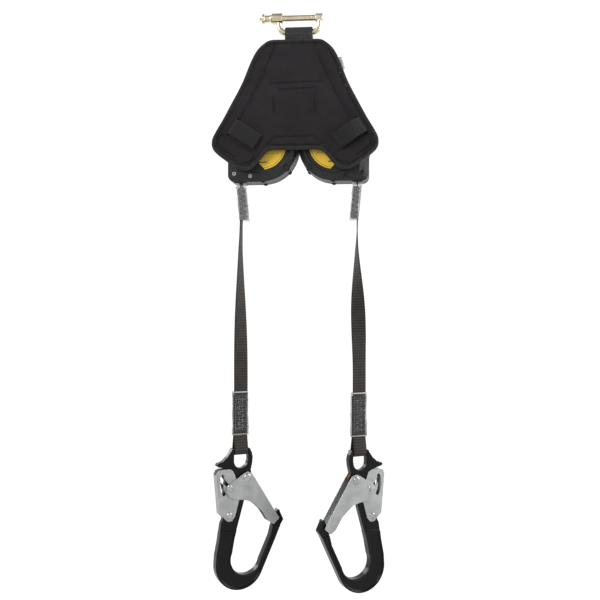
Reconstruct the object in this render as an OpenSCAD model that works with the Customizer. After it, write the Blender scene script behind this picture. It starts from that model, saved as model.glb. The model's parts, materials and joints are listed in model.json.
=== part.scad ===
// Twin-leg self-retracting lanyard, hanging from its back connector.
// Origin: middle of the connector pin. +X to the right, +Y to the wearer's back, +Z up.

/* [Connector] */
// Radius of the pin where it is gripped
pin_r = 5.0; // [4.8:0.05:5.05]
// Height of the bow bar's centre below the pin
bow_drop = 25; // [24:0.5:26]

/* [Webbing] */
// Width of a leg's webbing
web_w = 25; // [22:0.5:25]
// Thickness of the webbing
web_t = 1.8; // [1.4:0.1:1.9]
// Width of the absorber's webbing
absorber_w = 47; // [44:0.5:47]

/* [Reels] */
// Radius of a reel's casing
case_r = 60.7; // [60.5:0.1:60.8]
// Thickness of a reel's casing
case_t = 58; // [56:1:60]
// Wall of the casing
wall = 2.5; // [2:0.1:2.8]
// Teeth of the brake ring
ratchet_teeth = 12; // [12:12:12]
// Turns of the mainspring
spring_turns = 9; // [6:1:10]

/* [Pad] */
// Thickness of the pad
pad_t = 12; // [9:0.5:12]

/* [Hooks] */
// Angle that the gate opens
gate_open = 34; // [28:1:34]
// Angle that the lever is squeezed
lever_squeeze = 9; // [8:0.5:9]
// Turn of both hooks about the vertical
hook_yaw = 30; // [20:1:40]

/* [Hidden] */
$fn = 64;
eps = 0.01;
run = 0.05;         // radial clearance of a running fit

// connector
bearing_r = pin_r + 0.2;
eye_bore = bearing_r + run;
eye_left = [-45.7, -28];
eye_right = [28, 40.3];
eye_left_r = 9;
eye_right_r = 7.25;
bow_r = 5;
bow_leg = 34.2;
bow_bend = 14;

// reel centre, relative to the pin
reel = [-61, -219];
corner = [-119, -280];
yoke_bolt = [-36, -146];
bolt_r = 5;
half_t = case_t / 2;
plate_y = [14.8, 16.8];
coil_in = 20;
coil_out = 38;
mouth_x = reel[0] - coil_out;
frame_r = 43;
post_ring = 46;
post_angles = [-5, 112, 285];
axle_r = 5;
arbor_r = 9;
ratchet_in = 30.8;
ratchet_root = 35;
ratchet_out = 40;
pawl_ring = 22;
pawl_len = 17;
screw_places = [[-107, -267], [-80, -271], [-20.4, -256], [-98, -182], [-12.5, -201]];

// webbing leg
leg_top = -276;
leg_fold = [-287, -340];
twist_from = -345;
twist_to = -600;
lap_top = -640;
bar = [-101, 0, -736];
web_loop_in = 5.5;
loop_rise = 27;

// hook, in its own plane: first number towards the gate, second number up, from the eye bar
gate_pivot = [9.4, -45];
lever_pivot = [-22.4, -107.7];
tail = [-20, -63];
bowl = [8, -184];
bowl_in = 27.5;
bowl_out = [-3, -193];
bowl_out_r = 43.5;
body_half = 6;
bowl_half = 7.5;
lever_y = [6.4, 8.2];
gate_y = [8.6, 10.4];
rivet_r = 4;
small_rivet_r = 3.5;
stud_r = 2.5;

// ---- helpers ------------------------------------------------------------------------

// Extrudes a drawing in the XZ plane from y0 to y1
module slab(y0, y1) {
    translate([0, y1, 0]) rotate([90, 0, 0]) linear_extrude(y1 - y0) children();
}

// The same slab on both sides of the middle plane
module slabs(y) {
    slab(y[0], y[1]) children();
    slab(-y[1], -y[0]) children();
}

module rod_y(p, y0, y1, r) {
    translate([p[0], y0, p[1]]) rotate([-90, 0, 0]) cylinder(h = y1 - y0, r = r);
}

module rod_x(x0, x1, r) {
    translate([x0, 0, 0]) rotate([0, 90, 0]) cylinder(h = x1 - x0, r = r);
}

module tube_y(p, y0, y1, outer, inner) {
    difference() {
        rod_y(p, y0, y1, outer);
        rod_y(p, y0 - 1, y1 + 1, inner);
    }
}

module block(lo, hi) {
    translate(lo) cube(hi - lo);
}

// Rounds the corners of a drawing, both ways
module soft(r) {
    offset(r = r, $fn = 24) offset(r = -2 * r, $fn = 24) offset(r = r, $fn = 24) children();
}

module side(left) {
    if (left) children();
    else mirror([1, 0, 0]) children();
}

module hook_place(left) {
    translate([left ? bar[0] : -bar[0], bar[1], bar[2]])
        rotate([0, 0, left ? hook_yaw : hook_yaw + 180]) children();
}

function arc(c, r, a0, a1, n) = [for (i = [0:n]) let (a = a0 + (a1 - a0) * i / n)
    [c[0] + r * cos(a), c[1] + r * sin(a)]];
function turn(p, c, a) = let (d = p - c)
    [c[0] + d[0] * cos(a) - d[1] * sin(a), c[1] + d[0] * sin(a) + d[1] * cos(a)];
function ring_point(r, a) = [reel[0] + r * cos(a), reel[1] + r * sin(a)];
function reversed(v) = [for (i = [len(v) - 1:-1:0]) v[i]];

// ---- connector ----------------------------------------------------------------------

module connector_bow() {
    color([0.79, 0.71, 0.52]) difference() {
        union() {
            rod_x(eye_left[0], eye_left[1], eye_left_r);
            rod_x(eye_right[0], eye_right[1], eye_right_r);
            translate([0, 0, -bow_drop]) rod_x(bow_bend - bow_leg, bow_leg - bow_bend, bow_r);
            for (s = [-1, 1]) {
                translate([s * bow_leg, 0, bow_bend - bow_drop])
                    cylinder(h = bow_drop - bow_bend, r = bow_r);
                translate([s * (bow_leg - bow_bend), 0, bow_bend - bow_drop])
                    rotate([90, 0, 0]) rotate([0, 0, s > 0 ? -90 : 180])
                        rotate_extrude(angle = 90) translate([bow_bend, 0]) circle(bow_r);
            }
        }
        rod_x(eye_left[0] - 1, eye_right[1] + 1, eye_bore);
    }
}

module locking_pin() {
    color([0.80, 0.73, 0.56]) {
        rod_x(-22, 22, pin_r);
        rod_x(-46, -22, bearing_r);
        rod_x(22, 39.4, bearing_r);
        translate([39.4, 0, 0]) rotate([0, 90, 0]) cylinder(h = 1.6, r1 = bearing_r, r2 = 3.8);
        rod_x(-52, -46, 3);
    }
}

module pin_knob() {
    color([0.78, 0.70, 0.50]) rotate([0, -90, 0]) rotate_extrude()
        polygon([[3.02, 46.2], [6.6, 46.2], [7, 46.8], [7, 47.6], [6.2, 49.2], [5.9, 52.5],
            [6.0, 56], [6.6, 58.2], [8.1, 58.6], [8.5, 59.2], [8.5, 62.4], [7.9, 63],
            [2.6, 63], [2.6, 52.2], [3.02, 52.2]]);
}

module release_button() {
    color([0.72, 0.66, 0.52]) {
        rod_x(-67.2, -59.6, 2.5);
        translate([-68, 0, 0]) rotate([0, 90, 0]) cylinder(h = 0.8, r1 = 1.9, r2 = 2.5);
    }
}

module button_spring() {
    rings = 5;
    color([0.66, 0.66, 0.68]) for (i = [0:rings - 1])
        translate([-58.9 + i * 1.35, 0, 0]) rotate([0, 90, 0])
            rotate_extrude() translate([1.7, 0]) circle(0.55, $fn = 16);
}

// ---- energy absorber and yoke -------------------------------------------------------

pack_top = -46;
pack_bottom = -128;
pack_half = 11;
bow_loop = [6.0, 9.7];          // inner and outer radius of the loop round the bow
yoke_bar = [-131, -138];        // the plate's bar that the lower loop goes round
yoke_slot = 6;

module absorber_webbing() {
    half = absorber_w / 2;
    color([0.07, 0.07, 0.075]) {
        // loop round the bow bar
        translate([0, 0, -bow_drop]) difference() {
            union() {
                rod_x(-half, half, bow_loop[1]);
                block([-half, -bow_loop[1], pack_top + bow_drop], [half, bow_loop[1], 0]);
            }
            rod_x(-half - 1, half + 1, bow_loop[0]);
            block([-half - 1, -5.4, -8.4], [half + 1, 5.4, 0]);
        }
        // tear webbing folded into a stack
        layers = 7;
        step = (pack_top - pack_bottom) / layers;
        for (i = [0:layers - 1])
            block([-half, -pack_half + (i % 2) * 0.8, pack_top - (i + 1) * step],
                [half, pack_half - ((i + 1) % 2) * 0.8, pack_top - i * step]);
        // loop round the yoke
        difference() {
            block([-half + 0.5, -6.4, yoke_bar[1] - 4.1], [half - 0.5, 6.4, pack_bottom]);
            block([-half, -3, yoke_bar[1] - 0.6], [half, 3, yoke_bar[0] + 0.6]);
        }
    }
}

module absorber_cover() {
    color([0.10, 0.10, 0.11]) difference() {
        block([-25.4, -12.9, -130], [25.4, 12.9, -44]);
        block([-24.1, -11.6, -131], [24.1, 11.6, -43]);
    }
}

module yoke_plate() {
    color([0.62, 0.63, 0.64]) difference() {
        slab(-2.5, 2.5) soft(3) polygon([[-46, -140], [-38, -131], [38, -131], [46, -140],
            [46, -150], [40, -156], [-40, -156], [-46, -150]]);
        block([-25, -4, yoke_bar[1] - yoke_slot], [25, 4, yoke_bar[1]]);
        for (s = [-1, 1]) rod_y([s * yoke_bolt[0], yoke_bolt[1]], -4, 4, bolt_r + run);
    }
}

module yoke_bolts() {
    color([0.60, 0.61, 0.62]) for (s = [-1, 1]) {
        at = [s * yoke_bolt[0], yoke_bolt[1]];
        rod_y(at, -19, 19, bolt_r);
        rod_y(at, -21.6, -17.2, 8);
        rod_y(at, 17.2, 21.6, 8);
        tube_y(at, -14.4, -2.6, 8, bolt_r + run);
        tube_y(at, 2.6, 14.4, 8, bolt_r + run);
    }
}

// ---- pad ----------------------------------------------------------------------------

pad_half = [[0, -37], [42, -37], [49, -41], [62, -54], [72.5, -75], [85.5, -109], [102.5, -143],
    [117, -170], [129, -190], [135.5, -206], [132, -221], [108, -239], [88, -250], [76, -250],
    [66, -241], [50, -222], [42, -217], [0, -217]];
pad_mid = [-4, -9.5];
pad_back = [-16, -31];          // back face at the top and over the reels
pad_bend = -158;

module pad_outline() {
    translate(pad_mid) soft(2.5) polygon(concat(pad_half, [for (p = reversed(pad_half)) [-p[0], p[1]]]));
}

module back_pad() {
    color([0.11, 0.11, 0.12]) intersection() {
        slab(-60, 0) pad_outline();
        translate([-200, 0, 0]) rotate([90, 0, 90]) linear_extrude(400)
            polygon([[pad_back[0], -36], [pad_back[0] - pad_t, -36], [pad_back[1] - pad_t, pad_bend],
                [pad_back[1] - pad_t, -262], [pad_back[1], -262], [pad_back[1], pad_bend]]);
    }
}

module pad_keeper() {
    color([0.06, 0.06, 0.065]) difference() {
        block([-27, -20, -112], [27, 14.6, -86]);
        block([-25.7, -13.2, -113], [25.7, 13.2, -85]);
    }
}

module label_pouch() {
    color([0.86, 0.87, 0.86, 0.6]) slab(-14.9, -13.7)
        soft(2) polygon([[28, -84], [74, -70], [79.5, -95], [32.5, -112]]);
}

tab_slit = [-106, -191.5];
tab_angle = -33;
tab_size = [50, 28, 2.4];
tab_gap = 0.5;

module hook_and_loop_tab() {
    front = pad_back[1] - pad_t - tab_gap;
    color([0.05, 0.05, 0.055]) translate([tab_slit[0], front, tab_slit[1]])
        rotate([0, -tab_angle, 0]) slab(-tab_size[2], 0)
            soft(2) translate([0, -tab_size[1] / 2]) square([tab_size[0], tab_size[1]]);
}

// ---- reel ---------------------------------------------------------------------------

// Square outer-bottom corner of the casing with its rounded edge
module corner_outline(grow) {
    r = 12;
    low = corner - [grow, grow];
    translate(corner + [r, r]) circle(r + grow);
    translate([corner[0] + r, low[1]]) square([reel[0] - corner[0] - r, reel[1] - low[1]]);
    translate([low[0], corner[1] + r]) square([reel[0] - low[0], reel[1] - corner[1] - r]);
}

// Wedge that cuts a bevel: across the face by edge, down the side by bevel
module bevel_cut(edge, bevel) {
    polygon([[-0.2 * edge, 1.2 * bevel], [1.2 * edge, -0.2 * bevel], [-0.2 * edge, -0.2 * bevel]]);
}

// Solid of one casing half, lying between the middle plane and y = -depth
module case_solid(depth, bevel, rim, edge_side, edge_low, grow) {
    rod_y(reel, -depth + bevel, 0, case_r + grow);
    translate([reel[0], -depth, reel[1]]) rotate([-90, 0, 0])
        cylinder(h = bevel, r1 = case_r - rim + grow, r2 = case_r + grow);
    difference() {
        slab(-depth, 0) corner_outline(grow);
        translate([corner[0] - grow, -depth, corner[1] - 10]) linear_extrude(90)
            bevel_cut(edge_side, bevel);
        translate([corner[0] - 10, -depth, corner[1] - grow]) rotate([90, 0, 90])
            linear_extrude(90) mirror([1, -1]) bevel_cut(edge_low, bevel);
    }
}

module screw_boss(p, y0, y1) {
    rod_y(p, y0, y1, 4.2);
}

// One half: shell, bosses for axle and screws, windows for the ear and the webbing
module cover(bevel, rim, edge_side, edge_low) {
    ear = ring_point(0, 0);
    difference() {
        union() {
            difference() {
                case_solid(half_t, bevel, rim, edge_side, edge_low, 0);
                translate([0, 0.01, 0])
                    case_solid(half_t - wall, bevel, rim, edge_side, edge_low, -wall);
            }
            intersection() {
                case_solid(half_t, bevel, rim, edge_side, edge_low, -0.4);
                for (p = screw_places) screw_boss(p, -half_t, -0.05);
            }
            rod_y(reel, -half_t + 0.5, -24.6, 9);
            for (a = [-43, -88]) rod_y(ring_point(case_r - 2.2, a), -half_t + 9, -12, 4.5);
        }
        rod_y(reel, -27, -20, axle_r + run);
        for (p = screw_places) rod_y(p, -half_t - 1, 1, 1.9);
        translate([ear[0], 0, ear[1]]) rotate([0, -ear_angle, 0])
            block([45, -17.4, -9.7], [75, -14.2, 9.7]);
        block([mouth_x - 7.3, -17.4, corner[1] - 5], [mouth_x + 7.3, 1, corner[1] + 14]);
    }
}

ear_angle = atan2(yoke_bolt[1] - reel[1], yoke_bolt[0] - reel[0]);
label_r = 42;
recess_r = 48;

module front_cover() {
    color([0.16, 0.16, 0.165]) difference() {
        cover(9, 9, 16, 10);
        rod_y(reel, -half_t - 1, -half_t + 1.2, recess_r);
        for (p = screw_places) rod_y(p, -half_t - 1, -half_t + 4.2, 3.5);
    }
}

module rear_cover() {
    color([0.14, 0.14, 0.145]) mirror([0, 1, 0]) cover(6, 6, 7, 6);
}

module cover_screws() {
    color([0.74, 0.74, 0.75]) for (p = screw_places) {
        rod_y(p, -half_t + 4, half_t - 6, 1.8);
        difference() {
            rod_y(p, -half_t - 0.6 + screw_sink(p), -half_t + 4.2, 3.4);
            rod_y(p, -half_t - 1, -half_t + 1.4 + screw_sink(p), 1.6);
        }
    }
}

// Screws near the bevelled corner sit deeper
function screw_sink(p) = p[1] < -262 ? 2.4 : 1.8;

module label() {
    color([0.93, 0.74, 0.10]) slab(-half_t + 0.5, -half_t + 1.15) difference() {
        translate(reel) circle(label_r);
        translate(reel) rotate(223) translate([label_r - 18, -label_r]) square([20, 2 * label_r]);
    }
}

module webbing_guide() {
    low = corner[1] - 1.6;
    color([0.06, 0.06, 0.065]) difference() {
        union() {
            block([mouth_x - 7, -17, low + 3], [mouth_x + 7, 17, corner[1] + 10.4]);
            block([mouth_x - 9, -19, low], [mouth_x + 9, 19, low + 1.5]);
            block([mouth_x - 7, -17, low], [mouth_x + 7, 17, low + 4]);
        }
        block([mouth_x - 1.7, -13.1, low - 1], [mouth_x + 1.7, 13.1, corner[1] + 14]);
    }
}

module frame_outline() {
    translate(reel) circle(frame_r);
    for (a = post_angles) translate(ring_point(post_ring, a)) circle(5.5);
    translate(yoke_bolt) circle(9);
    translate(reel) rotate(ear_angle) translate([0, -9])
        square([norm(yoke_bolt - reel), 18]);
}

module frame_plates() {
    color([0.66, 0.67, 0.68]) difference() {
        slabs(plate_y) frame_outline();
        rod_y(yoke_bolt, -20, 20, bolt_r + run);
        rod_y(reel, -20, 20, arbor_r + 0.5);
        for (a = post_angles) rod_y(ring_point(post_ring, a), -20, 20, 1.8);
    }
}

module frame_posts() {
    color([0.70, 0.70, 0.71]) for (a = post_angles) {
        at = ring_point(post_ring, a);
        rod_y(at, -plate_y[0], plate_y[0], 3);
        rod_y(at, -plate_y[1] - 1.2, plate_y[1] + 1.2, 1.75);
    }
}

module drum_axle() {
    color([0.72, 0.72, 0.74]) rod_y(reel, -26.3, 26.3, axle_r);
}

pawl_base = 40;

module pawl_pin_places() {
    for (k = [0, 1]) {
        p = ring_point(pawl_ring, pawl_base + 180 * k);
        translate([p[0], 0, p[1]]) children();
    }
}

module drum() {
    color([0.20, 0.20, 0.21]) {
        difference() {
            union() {
                rod_y(reel, -13.9, 13.9, coil_in - 0.1);
                rod_y(reel, -13.9, -12.7, 41);
                rod_y(reel, 12.7, 13.9, 41);
                rod_y(reel, -24, 19.2, arbor_r);
                rod_y(reel, 17.3, 19.2, 28);
            }
            rod_y(reel, -30, 30, axle_r + run);
        }
        pawl_pin_places() rotate([-90, 0, 0]) translate([0, 0, 19]) cylinder(h = 4.8, r = 2);
    }
}

module webbing_coil() {
    color([0.09, 0.085, 0.08]) tube_y(reel, -web_w / 2, web_w / 2, coil_out, coil_in);
}

// Saw teeth on the inside of the ring, with the steep flank just past each open pawl
module ratchet_ring() {
    pitch = 360 / ratchet_teeth;
    flank = pawl_base + 37.5;
    color([0.58, 0.58, 0.60]) slab(17.2, 23.9) difference() {
        translate(reel) circle(ratchet_out);
        polygon([for (i = [0:ratchet_teeth - 1]) each
            [ring_point(ratchet_in, flank + i * pitch - 20), ring_point(ratchet_root, flank + i * pitch - 11),
             ring_point(ratchet_root, flank + i * pitch - 0.5), ring_point(ratchet_in, flank + i * pitch)]]);
    }
}

module pawl(k) {
    lean = 100;
    base = pawl_base + 180 * k;
    at = ring_point(pawl_ring, base);
    color([0.55, 0.55, 0.57]) translate([at[0], 0, at[1]]) rotate([0, -(base + lean), 0])
        difference() {
            slab(19.7, 23.5) {
                circle(4);
                polygon([[-3, 3.6], [0, -3.9], [pawl_len, -1.2], [pawl_len, 1.6], [6, 4]]);
            }
            rod_y([0, 0], 19, 24, 2 + run);
        }
}

module mainspring() {
    steps = spring_turns * 20;
    r0 = arbor_r + 0.2;
    r1 = 36;
    thick = 0.6;
    band = [for (i = [0:steps]) let (f = i / steps) [r0 + (r1 - r0) * f, f * spring_turns * 360]];
    color([0.50, 0.50, 0.53]) slab(-23.8, -17.3) polygon(concat(
        [for (p = band) ring_point(p[0], p[1])],
        reversed([for (p = band) ring_point(p[0] + thick, p[1])])));
}

module webbing_tail() {
    color([0.09, 0.085, 0.08])
        block([mouth_x - web_t + 0.9, -web_w / 2, leg_top + 0.2],
            [mouth_x + 0.9 - eps, web_w / 2, reel[1] - 10]);
}

// ---- leg ----------------------------------------------------------------------------

// Width direction of the webbing at height z, in degrees from +X
function web_turn(z) = z > twist_from ? 90 : z < twist_to ? hook_yaw :
    let (f = (twist_from - z) / (twist_from - twist_to)) 90 + (hook_yaw - 90) * f * f * (3 - 2 * f);
function web_x(z) = z > twist_from ? mouth_x : z < twist_to ? bar[0] :
    mouth_x + (bar[0] - mouth_x) * (twist_from - z) / (twist_from - twist_to);

module swept_strip(levels, thick) {
    n = len(levels);
    points = [for (z = levels) let (a = web_turn(z), w = [cos(a), sin(a)] * web_w / 2,
        t = [-sin(a), cos(a)] * thick / 2, c = [web_x(z), 0])
        each [for (q = [c + w + t, c - w + t, c - w - t, c + w - t]) [q[0], q[1], z]]];
    faces = concat([[3, 2, 1, 0]], [[for (k = [0:3]) 4 * (n - 1) + k]],
        [for (i = [0:n - 2], k = [0:3]) [4 * i + k, 4 * i + (k + 1) % 4,
            4 * i + 4 + (k + 1) % 4, 4 * i + 4 + k]]);
    polyhedron(points, faces);
}

// Strand, folded pack, lap and loop of the left leg; the right leg is the same, turned half round
module webbing_leg() {
    levels = concat([leg_top, twist_from],
        [for (i = [1:12]) twist_from + (twist_to - twist_from) * i / 12], [lap_top - 5]);
    lap = web_t + 0.2;
    half = web_w / 2;
    color([0.10, 0.09, 0.085]) {
        swept_strip(levels, web_t);
        block([mouth_x + 0.5, -half + 0.1, leg_fold[1]], [mouth_x + 12.2, half - 0.1, leg_fold[0]]);
        hook_place(true) {
            block([-half - 0.1, -lap, loop_rise - 2], [half + 0.1, lap, lap_top - bar[2]]);
            translate([-half + 0.4, 0, 0]) rotate([90, 0, 90]) linear_extrude(web_w - 0.8)
                difference() {
                    hull() {
                        circle(web_loop_in + web_t);
                        translate([-lap, loop_rise - 2]) square([2 * lap, 2]);
                    }
                    hull() {
                        circle(web_loop_in);
                        translate([-0.5, loop_rise - 6]) square([1, 1]);
                    }
                }
        }
    }
}

module half_turn() {
    rotate([0, 0, 180]) children();
}

module upper_sleeve() {
    color([0.80, 0.82, 0.82, 0.5]) difference() {
        block([mouth_x - 2.3, -14.4, -343.5], [mouth_x + 13.6, 14.4, -284.5]);
        block([mouth_x - 1.5, -13.6, -344.5], [mouth_x + 12.8, 13.6, -283.5]);
    }
}

module lower_sleeve(left) {
    color([0.80, 0.82, 0.82, 0.5]) hook_place(left) difference() {
        block([-14.6, -3.6, 27], [14.6, 3.6, 101]);
        block([-13.8, -2.8, 26], [13.8, 2.8, 102]);
    }
}

// ---- hook ---------------------------------------------------------------------------

module hook_outline() {
    soft(1.2) polygon(concat(
        [[-36.5, -121], [-33, -114], [-31, -62], [-25.5, -33], [-28, -28.4], [-39, -25.8],
         [-43, -24], [-42.6, -20], [-33, -16.5], [-24.5, -9], [-19, -1], [-15, 4], [15, 4],
         [19.5, -3], [21.2, -12], [20.2, -22], [17.5, -34], [20.2, -43]],
        arc(gate_pivot, 11, 0, -55, 6),
        [[9, -68], [4.5, -88], [-4, -118], [-13, -150]],
        arc(bowl, bowl_in - 0.8, 174, 338, 26),
        [[53.5, -150], [57.5, -134], [58.5, -127], [65.5, -110], [68, -106.5], [70.5, -107.5],
         [78, -123.5], [77.2, -127], [70.5, -138], [62.5, -156], [55, -172]],
        arc(bowl_out, bowl_out_r, -22, -180, 36),
        [[-45.5, -175], [-40.5, -150]]));
}

module hook_body() {
    hole_half = 12.8;
    color([0.045, 0.045, 0.05]) {
        difference() {
            union() {
                slab(-body_half, body_half) hook_outline();
                slab(-bowl_half, bowl_half) intersection() {
                    hook_outline();
                    translate([-80, -260]) square([200, 126]);
                }
            }
            // eye
            rod_y([-0.3, -17], -20, 20, 12.5);
            block([-hole_half, -20, -17], [hole_half, 20, 20]);
            // grooves of the I section
            for (s = [-1, 1]) translate([0, s * (bowl_half + 3.2), 0]) slab(-5, 5) intersection() {
                offset(delta = -3.8) hook_outline();
                translate([-80, -260]) square([200, 124]);
            }
            // round seat of the bowl
            rod_y(bowl, -20, 20, bowl_in);
            // pivots
            rod_y(gate_pivot, -20, 20, rivet_r + run);
            rod_y(lever_pivot, -20, 20, small_rivet_r + run);
            tube_y(gate_pivot, -3, 3, 12.4, 8);
        }
        // straight bar that the webbing goes round
        rod_x(-hole_half - 1, hole_half + 1, 5);
    }
}

module gate_outline() {
    soft(2.5) polygon([[2.5, -38.5], [9.4, -35.3], [17, -38], [22, -45], [59, -105], [69, -120.5],
        [58, -130.5], [48.5, -124], [36.5, -105], [26, -95], [14.8, -86.5], [2, -83],
        [-12.5, -81.5], [-23, -77], [-28.5, -68], [-28, -58], [-20, -52], [-9, -46]]);
}

module hook_gate() {
    color([0.70, 0.71, 0.71]) {
        difference() {
            slabs(gate_y) gate_outline();
            rod_y(gate_pivot, -20, 20, rivet_r + run);
        }
        rod_y([44, -99], -gate_y[0] - 0.2, gate_y[0] + 0.2, 3);
        for (s = [-1, 1]) mirror([0, s < 0 ? 1 : 0, 0]) {
            rod_y(tail, lever_y[0] + 0.2, gate_y[0] + 0.2, stud_r);
            rod_y(tail, gate_y[1] - 0.2, gate_y[1] + 1.1, 4.2);
        }
    }
}

// Place of the gate's stud, seen from the lever, for a stroke f from 0 to 1
function stud_path(f) = turn(turn(tail, gate_pivot, -gate_open * f), lever_pivot, lever_squeeze * f);

lever_slot = [[-34.5, -40.5], [-36, -48], [-36.5, -56], [-35, -64], [-32, -71]];

module lock_lever() {
    back = [[-45.8, -38], [-39.8, -104]];
    skin = lever_y[1] - lever_y[0];
    path = [for (i = [-1:15]) stud_path(i / 14)];
    color([0.68, 0.69, 0.69]) {
        difference() {
            slabs(lever_y) difference() {
                soft(2) polygon([back[0], [-43, -31.5], [-38, -29.5], [-22, -29.5], [-15.5, -33],
                    [-10.4, -46], [-3, -65], [-5, -84], [-12.5, -111], [-18, -117.4],
                    [-22.4, -118.2], [-27, -117.2], [-32.5, -111], back[1]]);
                offset(r = stud_r + 0.5, $fn = 24) polygon(concat(
                    path, reversed([for (p = path) p + [0.1, 0]])));
                offset(r = 2.9, $fn = 24) polygon(concat(
                    lever_slot, reversed([for (p = lever_slot) p + [0.1, 0]])));
            }
            rod_y(lever_pivot, -20, 20, small_rivet_r + run);
        }
        slab(-lever_y[1], lever_y[1]) polygon([back[0] + [0, 0], back[0] + [skin, 0],
            back[1] + [skin, 0], back[1]]);
    }
}

module rivet(p, half, r, head) {
    rod_y(p, -half, half, r);
    for (s = [-1, 1]) mirror([0, s < 0 ? 1 : 0, 0]) translate([p[0], half, p[1]])
        rotate([-90, 0, 0]) cylinder(h = 1.4, r1 = head, r2 = head - 1.4);
}

module hook_rivets() {
    color([0.78, 0.78, 0.79]) {
        rivet(gate_pivot, gate_y[1] + 0.3, rivet_r, 6.4);
        rivet(lever_pivot, lever_y[1] + 0.3, small_rivet_r, 5.4);
    }
}

module gate_spring() {
    color([0.66, 0.38, 0.20]) {
        for (y = [-1.45, 1.45]) translate([gate_pivot[0], y, gate_pivot[1]]) rotate([90, 0, 0])
            rotate_extrude() translate([10.6, 0]) circle(1.25, $fn = 16);
    }
}

// ---- nodes --------------------------------------------------------------------------

connector_bow();
locking_pin();
pin_knob();
release_button();
button_spring();
absorber_webbing();
absorber_cover();
yoke_plate();
yoke_bolts();
back_pad();
pad_keeper();
label_pouch();
side(true) hook_and_loop_tab();  // tab_left
side(false) hook_and_loop_tab();  // tab_right
side(true) front_cover();  // front_cover_left
side(true) rear_cover();  // rear_cover_left
side(true) cover_screws();  // cover_screws_left
side(true) label();  // label_left
side(true) webbing_guide();  // webbing_guide_left
side(true) frame_plates();  // frame_plates_left
side(true) frame_posts();  // frame_posts_left
side(true) drum_axle();  // drum_axle_left
side(true) drum();  // drum_left
side(true) webbing_coil();  // webbing_coil_left
side(true) ratchet_ring();  // ratchet_ring_left
side(true) pawl(0);  // pawl_a_left
side(true) pawl(1);  // pawl_b_left
side(true) mainspring();  // mainspring_left
side(true) webbing_tail();  // webbing_tail_left
side(true) upper_sleeve();  // upper_sleeve_left
webbing_leg();  // webbing_leg_left
lower_sleeve(true);  // lower_sleeve_left
hook_place(true) hook_body();  // hook_body_left
hook_place(true) hook_gate();  // hook_gate_left
hook_place(true) lock_lever();  // lock_lever_left
hook_place(true) hook_rivets();  // hook_rivets_left
hook_place(true) gate_spring();  // gate_spring_left
side(false) front_cover();  // front_cover_right
side(false) rear_cover();  // rear_cover_right
side(false) cover_screws();  // cover_screws_right
side(false) label();  // label_right
side(false) webbing_guide();  // webbing_guide_right
side(false) frame_plates();  // frame_plates_right
side(false) frame_posts();  // frame_posts_right
side(false) drum_axle();  // drum_axle_right
side(false) drum();  // drum_right
side(false) webbing_coil();  // webbing_coil_right
side(false) ratchet_ring();  // ratchet_ring_right
side(false) pawl(0);  // pawl_a_right
side(false) pawl(1);  // pawl_b_right
side(false) mainspring();  // mainspring_right
side(false) webbing_tail();  // webbing_tail_right
side(false) upper_sleeve();  // upper_sleeve_right
half_turn() webbing_leg();  // webbing_leg_right
lower_sleeve(false);  // lower_sleeve_right
hook_place(false) hook_body();  // hook_body_right
hook_place(false) hook_gate();  // hook_gate_right
hook_place(false) lock_lever();  // lock_lever_right
hook_place(false) hook_rivets();  // hook_rivets_right
hook_place(false) gate_spring();  // gate_spring_right
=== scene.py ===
"""Twin-leg self-retracting lanyard: visible pieces and finishes, built around its packed frame."""

import json
import math

import bmesh
import bpy
import numpy as np
from bpy.props import FloatProperty, FloatVectorProperty, IntProperty, PointerProperty
from mathutils import Matrix, Vector, noise
from mathutils.bvhtree import BVHTree


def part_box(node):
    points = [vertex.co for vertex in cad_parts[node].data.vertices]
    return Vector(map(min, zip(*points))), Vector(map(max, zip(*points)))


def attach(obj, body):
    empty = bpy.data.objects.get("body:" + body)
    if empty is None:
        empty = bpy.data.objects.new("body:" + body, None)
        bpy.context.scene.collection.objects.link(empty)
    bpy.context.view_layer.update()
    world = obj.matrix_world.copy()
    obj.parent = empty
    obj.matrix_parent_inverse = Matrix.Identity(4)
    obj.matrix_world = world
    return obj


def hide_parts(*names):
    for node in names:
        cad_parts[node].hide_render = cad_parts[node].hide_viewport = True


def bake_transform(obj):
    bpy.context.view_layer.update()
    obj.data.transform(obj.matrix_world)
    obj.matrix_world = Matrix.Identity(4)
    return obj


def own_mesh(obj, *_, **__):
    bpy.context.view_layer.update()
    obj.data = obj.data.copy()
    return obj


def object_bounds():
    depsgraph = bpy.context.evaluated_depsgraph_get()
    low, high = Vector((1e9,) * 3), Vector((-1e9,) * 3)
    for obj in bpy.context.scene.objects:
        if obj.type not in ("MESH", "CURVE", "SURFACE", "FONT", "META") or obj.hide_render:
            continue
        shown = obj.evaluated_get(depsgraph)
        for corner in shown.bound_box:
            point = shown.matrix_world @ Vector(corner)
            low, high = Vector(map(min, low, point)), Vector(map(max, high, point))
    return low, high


bl_info = {
    "name": "Twin-leg lanyard",
    "version": (1, 0, 0),
    "blender": (4, 5, 0),
    "location": "View3D > Sidebar > Lanyard",
    "description": "Builds the fabric, webbing, casings and hooks of a self-retracting lanyard",
    "category": "Object",
}

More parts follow.
